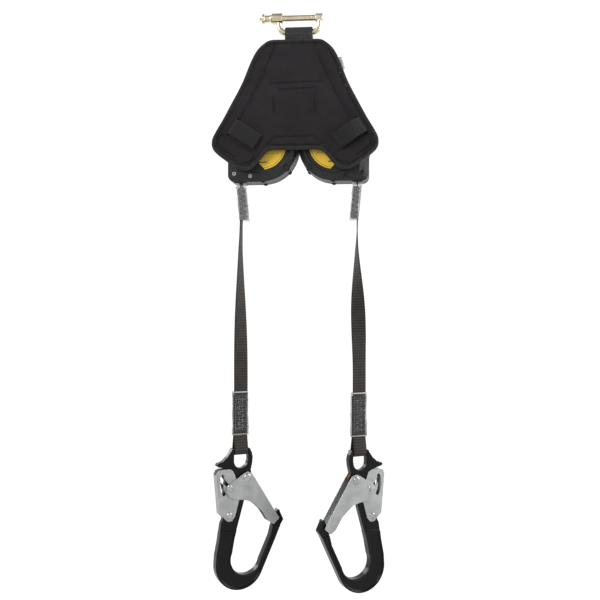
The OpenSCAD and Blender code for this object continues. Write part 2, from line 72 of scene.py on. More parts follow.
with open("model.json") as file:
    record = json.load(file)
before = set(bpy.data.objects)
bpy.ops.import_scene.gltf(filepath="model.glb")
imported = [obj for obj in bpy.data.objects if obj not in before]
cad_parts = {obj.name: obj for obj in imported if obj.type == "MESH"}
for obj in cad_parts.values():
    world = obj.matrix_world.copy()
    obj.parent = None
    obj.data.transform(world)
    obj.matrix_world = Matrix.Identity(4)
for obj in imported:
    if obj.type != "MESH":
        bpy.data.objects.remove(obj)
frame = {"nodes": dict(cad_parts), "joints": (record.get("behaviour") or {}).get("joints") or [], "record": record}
CAD_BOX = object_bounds()
NODES = frame["nodes"]
BODY_OF = {node: body for body, nodes in frame["record"]["behaviour"]["bodies"].items()
           for node in nodes}
SLOT_OF = {row["node"]: row["material_slot"] for row in frame["record"]["subparts"]}
MM = 0.001
SIDES = {"left": 1, "right": -1}


# ---- places taken from the frame -----------------------------------------------------------


def joint(name):
    return next(row for row in frame["joints"] if row["name"] == name)


def joint_place(name):
    return Vector(joint(name)["pos_m"])


# ---- properties ----------------------------------------------------------------------------


def colour(name, text, value):
    return FloatVectorProperty(name=name, description=text, subtype="COLOR", size=3,
                               min=0, max=1, default=value)


def distance(name, text, value):
    return FloatProperty(name=name, description=text, default=value, min=0, unit="LENGTH",
                         precision=5)


class LanyardWebbing(bpy.types.PropertyGroup):
    width: distance("Width", "Width of a leg's webbing", 0.025)
    thickness: distance("Thickness", "Thickness of the webbing", 0.0018)
    rib: distance("Rib pitch", "Distance between two cross ribs", 0.0046)
    leg: colour("Leg colour", "Colour of the leg webbing", (0.017, 0.0142, 0.0125))
    absorber: colour("Absorber colour", "Colour of the absorber webbing", (0.017, 0.017, 0.018))


class LanyardPad(bpy.types.PropertyGroup):
    thickness: distance("Thickness", "Thickness of the foam pad", 0.0112)
    face: colour("Face colour", "Colour of the pad's nylon face", (0.0165, 0.0140, 0.0160))
    tape: colour("Tape colour", "Colour of the binding and the tabs", (0.0110, 0.0100, 0.0108))
    stitch: distance("Stitch pitch", "Distance between two stitches", 0.0041)
    puff: distance("Puff", "Most that the cloth may swell", 0.0022)
    voxel: distance("Voxel", "Voxel size of the cloth mesh", 0.0046)


class LanyardMetal(bpy.types.PropertyGroup):
    zinc: colour("Zinc", "Colour of the pale gold zinc plate", (0.66, 0.58, 0.42))
    plate: colour("Plate", "Colour of the gate and lever", (0.35, 0.36, 0.355))
    hook: colour("Hook", "Colour of the anodised hook", (0.0028, 0.0028, 0.0031))
    casing: colour("Casing", "Colour of the casing", (0.0145, 0.0145, 0.015))
    label: colour("Label", "Colour of the label disc", (0.80, 0.52, 0.006))
    steps: IntProperty(name="Bevel steps", description="Segments of an edge bevel", default=3,
                       min=1, max=4)


class LanyardStage(bpy.types.PropertyGroup):
    distance: distance("Camera distance", "Distance from the camera to the object", 1.45)
    across: distance("Frame width", "Width that the picture takes in at the object", 1.02)
    azimuth: FloatProperty(name="Azimuth", description="Turn of the camera to the right",
                           default=math.radians(5.0), subtype="ANGLE")
    floor: colour("Floor", "Colour of the floor and backdrop", (0.86, 0.86, 0.86))


# ---- shader expressions --------------------------------------------------------------------


class Wire:
    """A socket on which arithmetic adds Math nodes."""

    def __init__(self, graph, socket):
        self.graph = graph
        self.socket = socket

    def math(self, operation, *others):
        settings = {"operation": operation}
        return self.graph.node("ShaderNodeMath", settings, dict(enumerate((self,) + others)))

    def __add__(self, other):
        return self.math("ADD", other)

    def __sub__(self, other):
        return self.math("SUBTRACT", other)

    def __mul__(self, other):
        return self.math("MULTIPLY", other)

    def __rsub__(self, other):
        return (self * -1.0).math("ADD", other)

    def above(self, other):
        return self.math("GREATER_THAN", other)

    def below(self, other):
        return self.math("LESS_THAN", other)

    __radd__ = __add__
    __rmul__ = __mul__


class Graph:
    """One material; node() adds a node and gives the wire of its output."""

    def __init__(self, name):
        self.material = bpy.data.materials.new(name)
        self.material.use_nodes = True
        self.tree = self.material.node_tree
        self.tree.nodes.clear()
        self.coords = self.tree.nodes.new("ShaderNodeTexCoord")

    def node(self, kind, settings=None, inputs=None, output=0):
        made = self.tree.nodes.new(kind)
        for key, value in (settings or {}).items():
            setattr(made, key, value)
        for key, value in (inputs or {}).items():
            if isinstance(value, Wire):
                self.tree.links.new(value.socket, made.inputs[key])
            else:
                made.inputs[key].default_value = value
        return Wire(self, made.outputs[output])

    def place(self):
        return Wire(self, self.coords.outputs["Object"])

    def uv(self):
        return self.parts(Wire(self, self.coords.outputs["UV"]))

    def parts(self, vector):
        made = self.tree.nodes.new("ShaderNodeSeparateXYZ")
        self.tree.links.new(vector.socket, made.inputs[0])
        return [Wire(self, out) for out in made.outputs]

    def noise(self, scale, detail=3.0, rough=0.55, vector=None):
        return self.node("ShaderNodeTexNoise", None, {
            "Vector": vector or self.place(), "Scale": scale, "Detail": detail, "Roughness": rough})

    def ramp(self, value, low, high, a, b):
        return self.node("ShaderNodeMapRange", None, {
            "Value": value, "From Min": low, "From Max": high, "To Min": a, "To Max": b})

    def mix(self, factor, a, b):
        sockets = {0: factor}
        sockets[6] = a if isinstance(a, Wire) else (*a, 1)
        sockets[7] = b if isinstance(b, Wire) else (*b, 1)
        return self.node("ShaderNodeMix", {"data_type": "RGBA"}, sockets, 2)

    def finish(self, sockets, height=None, depth=0.0002, strength=1.0):
        shader = self.tree.nodes.new("ShaderNodeBsdfPrincipled")
        if height is not None:
            normal = self.node("ShaderNodeBump", None, {
                "Height": height, "Distance": depth, "Strength": strength})
            self.tree.links.new(normal.socket, shader.inputs["Normal"])
        for key, value in sockets.items():
            if isinstance(value, Wire):
                self.tree.links.new(value.socket, shader.inputs[key])
            elif isinstance(value, tuple) and len(value) == 3:
                shader.inputs[key].default_value = (*value, 1)
            else:
                shader.inputs[key].default_value = value
        out = self.tree.nodes.new("ShaderNodeOutputMaterial")
        self.tree.links.new(shader.outputs[0], out.inputs[0])
        return self.material


def tone(base, factor):
    return tuple(min(1.0, channel * factor) for channel in base)


# ---- materials -----------------------------------------------------------------------------


def plated(name, base, rough, grain=900.0, bump=0.00002, metallic=1.0):
    """Plated or satin metal: soft cloudy tone, fine grain, roughness that varies."""
    g = Graph(name)
    cloud = g.noise(45.0, 4.0)
    fine = g.noise(grain, 2.0)
    shade = g.mix(g.ramp(cloud, 0.3, 0.7, 0.0, 1.0), tone(base, 0.82), tone(base, 1.12))
    return g.finish({"Base Color": shade, "Metallic": metallic,
                     "Roughness": g.ramp(cloud * 0.6 + fine * 0.4, 0.3, 0.7,
                                          rough - 0.06, rough + 0.08)},
                    fine, bump)


def woven(name, base, rib, across=0.0011, sheen=0.08):
    """Webbing: rounded cross ribs with a slanted yarn in each, from UVs in metres."""
    g = Graph(name)
    u, v, _ = g.uv()
    wave = 2 * math.pi
    slant = (u * (wave / across)).math("SINE")
    ribs = (v * (wave / rib) + slant * 0.5).math("SINE") * 0.5 + 0.5
    yarn = (u * (wave / across) + v * (wave / rib)).math("SINE") * 0.5 + 0.5
    wear = g.noise(60.0, 5.0)
    fluff = g.noise(2600.0, 2.0)
    height = ribs * 0.75 + yarn * 0.25 + fluff * 0.25
    # painted shade in the hollows between the ribs and painted highlight on their crowns: the colour follows the
    # bump height
    rib_light_and_shade = g.mix(g.ramp(height, 0.2, 1.0, 0.0, 1.0), tone(base, 0.3), tone(base, 2.1))
    shade = g.mix(g.ramp(wear, 0.45, 0.75, 0.0, 0.35), rib_light_and_shade, tone(base, 3.0))
    return g.finish({"Base Color": shade, "Roughness": g.ramp(fluff, 0.3, 0.7, 0.55, 0.8),
                     "Sheen Weight": sheen, "Sheen Roughness": 0.4, "Specular IOR Level": 0.25},
                    height, 0.00028)


def neoprene(name, base):
    """Pad face: tight knit over foam, faintly mottled."""
    g = Graph(name)
    x, _, z = g.parts(g.place())
    knit = 2 * math.pi / 0.0009
    rows = (z * knit).math("SINE") * (x * knit).math("SINE")
    fine = g.noise(1500.0, 3.0)
    soft = g.noise(38.0, 4.0)
    shade = g.mix(g.ramp(soft, 0.3, 0.7, 0.0, 1.0), tone(base, 0.82), tone(base, 1.25))
    speck = g.mix(g.ramp(fine, 0.55, 0.75, 0.0, 0.5), shade, tone(base, 2.3))
    return g.finish({"Base Color": speck, "Roughness": g.ramp(fine, 0.3, 0.7, 0.78, 0.95),
                     "Sheen Weight": 0.06, "Sheen Roughness": 0.5, "Specular IOR Level": 0.15},
                    rows * 0.35 + fine * 0.65 + soft * 0.8, 0.00022)


def fuzzy(name, base):
    """Loop tape: short felted pile."""
    g = Graph(name)
    pile = g.noise(1900.0, 5.0, 0.7)
    curl = g.node("ShaderNodeTexVoronoi", None, {"Vector": g.place(), "Scale": 1300.0})
    height = pile * 0.6 + curl * 0.6
    # painted shade deep in the pile and painted highlight on its tips: the colour follows the pile height
    shade = g.mix(g.ramp(height, 0.3, 0.9, 0.0, 1.0), tone(base, 0.6), tone(base, 2.2))
    return g.finish({"Base Color": shade, "Roughness": g.ramp(pile, 0.3, 0.7, 0.8, 1.0),
                     "Sheen Weight": 0.08, "Sheen Roughness": 0.6, "Specular IOR Level": 0.15},
                    height, 0.00045)


def moulded(name, base, rough, grain=1400.0, bump=0.00005):
    """Moulded plastic: spark-eroded grain, rubbed lighter in patches."""
    g = Graph(name)
    fine = g.noise(grain, 3.0, 0.6)
    rub = g.noise(70.0, 4.0)
    shade = g.mix(g.ramp(rub, 0.45, 0.75, 0.0, 0.5), base, tone(base, 1.9))
    return g.finish({"Base Color": shade, "Specular IOR Level": 0.24,
                     "Roughness": g.ramp(fine, 0.3, 0.7, rough - 0.07, rough + 0.1)}, fine, bump)


def anodised(name, base):
    """Gloss black anodised forging: faint orange peel and light scuffs."""
    g = Graph(name)
    peel = g.noise(320.0, 2.0)
    scuff = g.noise(1100.0, 5.0, 0.75)
    marks = g.ramp(scuff, 0.6, 0.72, 0.0, 0.35)
    shade = g.mix(marks, base, tone(base, 4.0))
    return g.finish({"Base Color": shade, "Roughness": g.ramp(scuff, 0.3, 0.75, 0.14, 0.28),
                     "Specular IOR Level": 0.2}, peel, 0.00004)


def vinyl(name, alpha, tint, length=0.0):
    """Clear soft vinyl: crinkled, glossy, milky at its sealed ends, length apart."""
    g = Graph(name)
    crease = g.noise(42.0, 1.5, 0.4)
    fine = g.noise(260.0, 1.0, 0.3)
    cloud = g.ramp(crease, 0.42, 0.66, alpha, alpha + 0.14)
    shade = g.mix(g.ramp(fine, 0.3, 0.7, 0.0, 1.0), tone(tint, 0.85), tone(tint, 1.15))
    if length:
        _, v, _ = g.uv()
        ends = v.below(0.0022).math("MAXIMUM", v.above(length - 0.0018))
        cloud = cloud.math("MAXIMUM", ends * 0.72)
        shade = g.mix(ends, shade, (0.50, 0.50, 0.46))
    material = g.finish({"Base Color": shade, "Alpha": cloud, "Specular IOR Level": 0.45,
                         "Roughness": g.ramp(fine, 0.3, 0.7, 0.10, 0.24)},
                        crease + fine * 0.04, 0.0016)
    material.surface_render_method = "BLENDED"
    return material


def printed_label(name, base, centre, side):
    """Plain label film: band, thin ring and blank blocks, with no lettering."""
    g = Graph(name)
    x, _, z = g.parts(g.place())
    dx = (x - centre.x) * float(side)
    dz = z - centre.z
    radius = (dx * dx + dz * dz).math("SQRT")
    ink = (0.02, 0.02, 0.022)
    ring = radius.above(0.0392) * radius.below(0.0399)
    band = dz.above(0.0015) * dz.below(0.0048)
    head = dz.above(0.0048)
    rows = (dz * 260.0).math("FRACT").below(0.32) * dx.above(0.006) * dx.below(0.030)
    rows = rows * dz.below(-0.004) * dz.above(-0.016) * radius.below(0.036)
    foot = dz.below(-0.0285) * dz.above(-0.0305) * dx.math("ABSOLUTE").below(0.010)
    block = (dx + 0.006).math("ABSOLUTE").below(0.0055)
    block = block * (dz + 0.013).math("ABSOLUTE").below(0.0055)
    marks = ring.math("MAXIMUM", band).math("MAXIMUM", rows * 0.55)
    marks = marks.math("MAXIMUM", foot).math("MAXIMUM", block * 0.9)
    film = g.noise(150.0, 3.0)
    ground = g.mix(g.ramp(film, 0.3, 0.7, 0.0, 1.0), tone(base, 0.92), tone(base, 1.04))
    ground = g.mix(head, ground, (0.42, 0.50, 0.55))
    return g.finish({"Base Color": g.mix(marks, ground, ink),
                     "Roughness": g.ramp(film, 0.3, 0.7, 0.3, 0.42), "Coat Weight": 0.25},
                    film, 0.00004)


def screws():
    """Casing screws: the two at the left corner are fresh zinc, the others blackened."""
    g = Graph("casing_screws")
    x, _, _ = g.parts(g.place())
    # the mask holds the two screws at the left corner; the rest get the near-black painted shade
    catches_light = x.below(-0.072)
    grain = g.noise(900.0, 2.0)
    return g.finish({"Base Color": g.mix(catches_light, (0.03, 0.03, 0.032), (0.34, 0.34, 0.335)),
                     "Metallic": 0.9, "Roughness": g.ramp(grain, 0.3, 0.7, 0.22, 0.36)},
                    grain, 0.00002)


def thread(name, base):
    g = Graph(name)
    twist = g.noise(2400.0, 2.0)
    shade = g.mix(g.ramp(twist, 0.3, 0.7, 0.0, 1.0), tone(base, 0.7), tone(base, 1.4))
    return g.finish({"Base Color": shade, "Roughness": g.ramp(twist, 0.3, 0.7, 0.45, 0.7)},
                    twist, 0.0001)


MATERIALS = {}


def build_materials():
    scene = bpy.context.scene
    web, pad, metal = scene.lanyard_webbing, scene.lanyard_pad, scene.lanyard_metal
    zinc, plate, hook = tuple(metal.zinc), tuple(metal.plate), tuple(metal.hook)
    casing = tuple(metal.casing)
    low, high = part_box("lower_sleeve_left")
    sealed = high.z - low.z
    MATERIALS.update({
        "zinc_gold": plated("pale_gold_zinc", zinc, 0.24, 500.0, 0.00001),
        "webbing": woven("leg_webbing", tuple(web.leg), web.rib),
        "absorber_fabric": woven("absorber_webbing_weave", tuple(web.absorber), 0.0022, 0.0015),
        "pad_fabric": neoprene("pad_neoprene", tuple(pad.face)),
        "elastic": woven("keeper_elastic", tuple(pad.tape), 0.0016, 0.0012),
        "hook_and_loop": fuzzy("loop_tape", tuple(pad.tape)),
        "binding": woven("binding_tape", tuple(pad.tape), 0.0013, 0.0011, 0.05),
        "clear_sleeve": vinyl("clear_vinyl", 0.24, (0.30, 0.30, 0.295)),
        "sealed_sleeve": vinyl("sealed_vinyl", 0.16, (0.07, 0.073, 0.078), sealed),
        "pouch": vinyl("milky_vinyl", 0.62, (0.72, 0.74, 0.73)),
        "casing": moulded("casing_plastic", casing, 0.40),
        "casing_rear": moulded("rear_casing_plastic", tone(casing, 0.85), 0.45),
        "guide": moulded("guide_plastic", (0.012, 0.012, 0.013), 0.25, 900.0, 0.00002),
        "bright_steel": plated("bright_zinc", (0.44, 0.44, 0.45), 0.24, 500.0, 0.00001),
        "plated_steel": plated("satin_steel", (0.45, 0.46, 0.47), 0.34, 1200.0),
        "spring_steel": plated("blued_spring_steel", (0.24, 0.25, 0.30), 0.3),
        "screw_heads": screws(),
        "grey_thread": thread("grey_thread", (0.075, 0.075, 0.078)),
        "drum_plastic": moulded("drum_plastic", (0.06, 0.06, 0.065), 0.5),
        "black_anodised": anodised("black_anodised", hook),
        "hook_plate": plated("satin_plate", plate, 0.38, 1500.0, 0.00003, 0.5),
        "copper_spring": plated("coppery_wire", (0.16, 0.055, 0.02), 0.35),
        "dark_thread": thread("dark_thread", (0.012, 0.011, 0.013)),
        "pale_thread": thread("pale_thread", (0.34, 0.34, 0.33)),
    })
    for side, sign in SIDES.items():
        centre = joint_place(f"drum_{side}_spin")
        MATERIALS["label_" + side] = printed_label("label_film_" + side, tuple(metal.label),
                                                   centre, sign)


# ---- mesh tools ----------------------------------------------------------------------------


def new_object(name, mesh, material):
    obj = bpy.data.objects.new(name, mesh)
    bpy.context.scene.collection.objects.link(obj)
    mesh.materials.clear()
    mesh.materials.append(MATERIALS[material])
    return obj


def from_lists(name, points, faces, material, uvs=None):
    mesh = bpy.data.meshes.new(name)
    mesh.from_pydata([tuple(p) for p in points], [], faces)
    if uvs:
        layer = mesh.uv_layers.new(name="UVMap")
        for loop in mesh.loops:
            layer.data[loop.index].uv = uvs[loop.vertex_index]
    mesh.validate()
    for face in mesh.polygons:
        face.use_smooth = True
    return new_object(name, mesh, material)


def grid_faces(rows, columns, closed):
    """Quads between rows of points. A closed grid joins its last column to its first."""
    return [(i * columns + k, i * columns + (k + 1) % columns,
             (i + 1) * columns + (k + 1) % columns, (i + 1) * columns + k)
            for i in range(rows - 1) for k in range(columns if closed else columns - 1)]


def walled(obj, thick, offset):
    wall = obj.modifiers.new("wall", "SOLIDIFY")
    wall.thickness = thick
    wall.offset = offset
    return bake(obj)


def outwards(obj):
    made = bmesh.new()
    made.from_mesh(obj.data)
    bmesh.ops.recalc_face_normals(made, faces=made.faces)
    made.to_mesh(obj.data)
    made.free()


def bake(obj):
    """Applies every modifier of obj by making its evaluated mesh its own."""
    graph = bpy.context.evaluated_depsgraph_get()
    graph.update()
    mesh = bpy.data.meshes.new_from_object(obj.evaluated_get(graph), depsgraph=graph)
    obj.modifiers.clear()
    old = obj.data
    obj.data = mesh
    bpy.data.meshes.remove(old)
    mesh.name = obj.name
    return obj


def settle(obj, body, *nodes, slot=None):
    """obj moves with body and stands for the CAD nodes."""
    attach(obj, body)
    if nodes:
        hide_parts(*nodes)
    return obj


def curve_points(points, per_span=8, closed=False):
    """A smooth line through the points, with per_span steps between two of them."""
    points = [Vector(p) for p in points]
    count = len(points)
    out = []
    for i in range(count if closed else count - 1):
        def at(k):
            return points[k % count] if closed else points[max(0, min(count - 1, k))]
        a, b, c, d = at(i - 1), at(i), at(i + 1), at(i + 2)
        for step in range(per_span):
            t = step / per_span
            out.append(0.5 * ((2 * b) + (c - a) * t + (2 * a - 5 * b + 4 * c - d) * t * t
                              + (3 * b - a - 3 * c + d) * t ** 3))
    if not closed:
        out.append(points[-1])
    return out


def arc_points(centre, radius, start, stop, count, across):
    """Points on an arc in the plane square to across; angle 0 is straight up."""
    up = Vector((0, 0, 1))
    side = across.cross(up).normalized()
    turns = [math.radians(start + (stop - start) * i / count) for i in range(count + 1)]
    return [centre + up * (radius * math.cos(a)) + side * (radius * math.sin(a)) for a in turns]


def band(name, path, across, width, thick, material):
    """A strap along path, with rounded edges. across is one direction, or one a point."""
    if isinstance(across, Vector):
        across = [across] * len(path)
    flat, edge = 6, 3
    half, round_ = width / 2, thick / 2
    section = [(-half + round_ + (width - thick) * i / flat, round_) for i in range(flat + 1)]
    for i in range(1, edge):
        a = math.pi / 2 - math.pi * i / edge
        section.append((half - round_ + round_ * math.cos(a), round_ * math.sin(a)))
    section += [(-x, -y) for x, y in section]
    size = len(section)
    points, uvs, travelled = [], [], 0.0
    for i, spot in enumerate(path):
        before, after = path[max(0, i - 1)], path[min(len(path) - 1, i + 1)]
        tangent = (after - before).normalized()
        side = (across[i] - tangent * across[i].dot(tangent)).normalized()
        normal = tangent.cross(side)
        if i:
            travelled += (spot - path[i - 1]).length
        for x, y in section:
            points.append(spot + side * x + normal * y)
            uvs.append((x, travelled))
    faces = [(i * size + k, i * size + (k + 1) % size, (i + 1) * size + (k + 1) % size,
              (i + 1) * size + k) for i in range(len(path) - 1) for k in range(size)]
    faces.append(tuple(range(size)))
    faces.append(tuple((len(path) - 1) * size + k for k in reversed(range(size))))
    obj = from_lists(name, points, faces, material, uvs)
    outwards(obj)
    return obj


def joined(name, objects):
    """One object from several, keeping their materials and UVs."""
    first = objects[0]
    with bpy.context.temp_override(active_object=first, object=first,
                                   selected_editable_objects=objects, selected_objects=objects):
        bpy.ops.object.join()
    first.name = name
    first.data.name = name
    return first


def pull_back(mesh, surface, reach):
    """Points that the rounding threw further than reach off the surface return to it."""
    for vertex in mesh.vertices:
        place, _, _, far = surface.find_nearest(vertex.co)
        if far is not None and far > reach:
            vertex.co = place


def dressed(node, material=None, bevel=0.0005, angle=30, name=None):
    """A copy of a CAD node with its doubles merged and its edges rounded."""
    steps = bpy.context.scene.lanyard_metal.steps
    mesh = NODES[node].data.copy()
    obj = new_object(name or node + "_finished", mesh, material or SLOT_OF[node])
    made = bmesh.new()
    made.from_mesh(mesh)
    bmesh.ops.remove_doubles(made, verts=made.verts, dist=0.00001)
    for face in made.faces:
        face.smooth = True
    made.to_mesh(mesh)
    made.free()
    rounding = obj.modifiers.new("rounding", "BEVEL")
    rounding.width = bevel
    rounding.segments = steps
    rounding.limit_method = "ANGLE"
    rounding.angle_limit = math.radians(angle)
    rounding.use_clamp_overlap = False
    surface = BVHTree.FromPolygons([v.co.copy() for v in mesh.vertices],
                                   [tuple(p.vertices) for p in mesh.polygons])
    bake(obj)
    pull_back(obj.data, surface, bevel)
    flats = obj.modifiers.new("flats", "WEIGHTED_NORMAL")
    flats.mode = "FACE_AREA_WITH_ANGLE"
    flats.weight = 100
    flats.keep_sharp = True
    bake(obj)
    return settle(obj, BODY_OF[node], node)


def paint(node, material):
    data = NODES[node].data
    data.materials.clear()
    data.materials.append(MATERIALS[material])
    for face in data.polygons:
        face.material_index = 0


# ---- geometry nodes ------------------------------------------------------------------------


class NodeTree:
    """A Geometry Nodes tree with named inputs, on the edges of a wire mesh."""

    def __init__(self, name, inputs):
        self.tree = bpy.data.node_groups.new(name, "GeometryNodeTree")
        face = self.tree.interface
        face.new_socket("Geometry", in_out="INPUT", socket_type="NodeSocketGeometry")
        face.new_socket("Geometry", in_out="OUTPUT", socket_type="NodeSocketGeometry")
        for label, kind in inputs.items():
            face.new_socket(label, in_out="INPUT", socket_type=kind)
        self.start = self.tree.nodes.new("NodeGroupInput")
        self.end = self.tree.nodes.new("NodeGroupOutput")

    def add(self, kind, settings=None, links=None):
        made = self.tree.nodes.new(kind)
        for key, value in (settings or {}).items():
            setattr(made, key, value)
        for key, value in (links or {}).items():
            if isinstance(value, bpy.types.NodeSocket):
                self.tree.links.new(value, made.inputs[key])
            else:
                made.inputs[key].default_value = value
        return made

    def close(self, geometry):
        real = self.add("GeometryNodeRealizeInstances", None, {0: geometry})
        shade = self.add("GeometryNodeSetMaterial", None,
                         {"Geometry": real.outputs[0], "Material": self.start.outputs["Material"]})
        self.tree.links.new(shade.outputs[0], self.end.inputs[0])
        return self.tree


def stitch_tree():
    """Little threads, end to end, along every line."""
    made = NodeTree("stitches", {"Pitch": "NodeSocketFloat", "Length": "NodeSocketFloat",
                                 "Radius": "NodeSocketFloat", "Material": "NodeSocketMaterial"})
    start = made.start.outputs
    line = made.add("GeometryNodeMeshToCurve", None, {"Mesh": start["Geometry"]})
    dots = made.add("GeometryNodeResampleCurve", {"mode": "LENGTH"},
                    {"Curve": line.outputs[0], "Length": start["Pitch"]})
    ball = made.add("GeometryNodeMeshUVSphere", None, {"Segments": 8, "Rings": 5, "Radius": 1.0})
    half = made.add("ShaderNodeMath", {"operation": "MULTIPLY"}, {0: start["Length"], 1: 0.5})
    size = made.add("ShaderNodeCombineXYZ", None, {0: half.outputs[0], 1: start["Radius"],
                                                   2: start["Radius"]})
    along = made.add("GeometryNodeInputTangent")
    turn = made.add("FunctionNodeAlignRotationToVector", {"axis": "X"},
                    {"Vector": along.outputs[0]})
    rows = made.add("GeometryNodeInstanceOnPoints", None, {
        "Points": dots.outputs[0], "Instance": ball.outputs[0], "Rotation": turn.outputs[0],
        "Scale": size.outputs[0]})
    return made.close(rows.outputs[0])


def sweep_tree():
    """A rounded rectangular tape swept along every line."""
    made = NodeTree("edge_tape", {"Width": "NodeSocketFloat", "Depth": "NodeSocketFloat",
                                  "Round": "NodeSocketFloat", "Material": "NodeSocketMaterial"})
    start = made.start.outputs
    line = made.add("GeometryNodeMeshToCurve", None, {"Mesh": start["Geometry"]})
    upright = made.add("GeometryNodeSetCurveNormal", {"mode": "Z_UP"}, {"Curve": line.outputs[0]})
    box = made.add("GeometryNodeCurvePrimitiveQuadrilateral", None,
                   {"Width": start["Width"], "Height": start["Depth"]})
    soft = made.add("GeometryNodeFilletCurve", {"mode": "POLY"},
                    {"Curve": box.outputs[0], "Count": 5, "Radius": start["Round"],
                     "Limit Radius": True})
    tape = made.add("GeometryNodeCurveToMesh", None,
                    {"Curve": upright.outputs[0], "Profile Curve": soft.outputs[0]})
    smooth = made.add("GeometryNodeSetShadeSmooth", None, {"Geometry": tape.outputs[0]})
    return made.close(smooth.outputs[0])


TREES = {}


def build_trees():
    TREES["stitches"] = stitch_tree()
    TREES["edge_tape"] = sweep_tree()


def along_lines(name, lines, tree, values, material, closed=False):
    """Runs a tree over lines, each a list of points, and bakes the result."""
    points, edges = [], []
    for line in lines:
        base = len(points)
        points += [tuple(p) for p in line]
        edges += [(base + i, base + i + 1) for i in range(len(line) - 1)]
        if closed:
            edges.append((base + len(line) - 1, base))
    mesh = bpy.data.meshes.new(name)
    mesh.from_pydata(points, edges, [])
    obj = new_object(name, mesh, material)
    maker = obj.modifiers.new("maker", "NODES")
    maker.node_group = TREES[tree]
    for item in TREES[tree].interface.items_tree:
        if item.in_out == "INPUT" and item.name in values:
            maker[item.identifier] = values[item.name]
        if item.in_out == "INPUT" and item.name == "Material":
            maker[item.identifier] = MATERIALS[material]
    bake(obj)
    obj.data.materials.clear()
    obj.data.materials.append(MATERIALS[material])
    for face in obj.data.polygons:
        face.material_index = 0
        face.use_smooth = True
    return obj


def stitches(name, lines, body, material="dark_thread", pitch=None, length=0.0026, radius=0.00036):
    pitch = pitch or bpy.context.scene.lanyard_pad.stitch
    obj = along_lines(name, lines, "stitches",
                      {"Pitch": pitch, "Length": length, "Radius": radius}, material)
    return settle(obj, body, slot="pad_fabric" if body == "absorber" else "webbing")


# ---- connector and absorber ----------------------------------------------------------------


def build_connector():
    for node in ("connector_bow", "locking_pin", "release_button"):
        dressed(node, bevel=0.0005)
    dressed("pin_knob", bevel=0.0003)
    paint("button_spring", "bright_steel")
    low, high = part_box("button_spring")
    press = joint("button_press")
    travel = max(press["range_m"])
    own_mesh(NODES["button_spring"], "button_press", axis=(1, 0, 0), anchor=high,
              keep=1 - travel / (high.x - low.x))


def loop_path():
    """Middle line of the absorber's top loop, round the bow bar and down into the cover."""
    bow = joint_place("absorber_swing")
    across = Vector((1, 0, 0))
    middle_r = 0.0079
    top = arc_points(bow, middle_r, -92, 92, 22, across)
    front = min(top[0], top[-1], key=lambda p: p.y)
    if top[0].y > 0:
        top.reverse()
    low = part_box("absorber_cover")[1].z
    down = [Vector((0, front.y * f, z)) for f, z in
            ((0.62, low - 0.012), (0.72, low), (0.93, low + 0.007), (1.0, bow.z - 0.003))]
    up = [Vector((0, -p.y, p.z)) for p in reversed(down)]
    return down + top + up


def build_webbing(path, width):
    """Top loop, folded tear webbing and lower loop, as one piece."""
    x_axis = Vector((1, 0, 0))
    strap = band("absorber_loop", path, x_axis, width, 0.0034, "absorber_fabric")
    cover_low, cover_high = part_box("absorber_cover")
    layers = 9
    depth = 0.0215
    runs = []
    for i in range(layers):
        y = -depth / 2 + depth * (i + 0.5) / layers
        ends = (cover_low.z + 0.004, cover_high.z - 0.004)
        start, stop = ends if i % 2 == 0 else ends[::-1]
        runs += [Vector((0, y, start + (stop - start) * k / 8)) for k in range(9)]
    stack = band("absorber_stack", runs, x_axis, width, 0.0018, "absorber_fabric")
    _, yoke_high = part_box("yoke_plate")
    bar_mid = Vector((0, 0, yoke_high.z - 0.0035))
    under = arc_points(bar_mid, 0.0052, 95, 265, 16, x_axis)
    arms = [[Vector((0, end.y * f, cover_low.z + 0.006 * f2)) for f, f2 in ((0.5, 1.6), (0.8, 0.2))]
            for end in (under[0], under[-1])]
    yoke_loop = band("yoke_loop", arms[0] + under + arms[1][::-1], x_axis, width - 0.001, 0.003,
                     "absorber_fabric")
    webbing = joined("absorber_strap", [strap, stack, yoke_loop])
    settle(webbing, "absorber", "absorber_webbing")


def stitch_loop(path, width):
    """Box and cross stitching on the top loop's face."""
    face_y = min(p.y for p in path) - 0.0018
    left, right = -width / 2 + 0.004, width / 2 - 0.004
    bow_z = joint_place("absorber_swing").z
    top_z, low_z = bow_z - 0.004, bow_z - 0.019

    def on_face(x, z):
        return Vector((x, face_y + max(0.0, (top_z - z) * 0.035), z))

    corners = [(left, top_z), (right, top_z), (right, low_z), (left, low_z)]
    lines = [[on_face(*corners[i]), on_face(*corners[(i + 1) % 4])] for i in range(4)]
    lines += [[on_face(*corners[i]), on_face(*corners[i + 2])] for i in range(2)]
    stitches("loop_stitching", lines, "absorber", "grey_thread", 0.0034, 0.0029, 0.00042)


def build_cover():
    cover_low, cover_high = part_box("absorber_cover")
    sleeve = rounded_sleeve("cover_sleeve", cover_low, cover_high, "absorber_fabric", 0.0012)
    settle(sleeve, "absorber", "absorber_cover")
    seam_lines = []
    for z in (cover_high.z - 0.006, cover_low.z + 0.006):
        for y in (cover_low.y - 0.0002, cover_high.y + 0.0002):
            seam_lines.append([Vector((x, y, z)) for x in (cover_low.x + 0.004,
                                                           cover_high.x - 0.004)])
    stitches("cover_stitching", seam_lines, "absorber", "pale_thread", 0.0045, 0.003, 0.0003)


def build_keeper():
    keeper_low, keeper_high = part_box("pad_keeper")
    ring = ring_path(keeper_low, keeper_high, 0.0009)
    keeper = band("keeper_strap", ring, Vector((0, 0, 1)), keeper_high.z - keeper_low.z, 0.0014,
                  "elastic")
    settle(keeper, "absorber", "pad_keeper")


def build_absorber():
    path = loop_path()
    low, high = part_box("absorber_webbing")
    width = high.x - low.x
    build_webbing(path, width)
    stitch_loop(path, width)
    build_cover()
    build_keeper()
    for node in ("yoke_plate", "yoke_bolts"):
        dressed(node, bevel=0.0006)
    build_pouch()


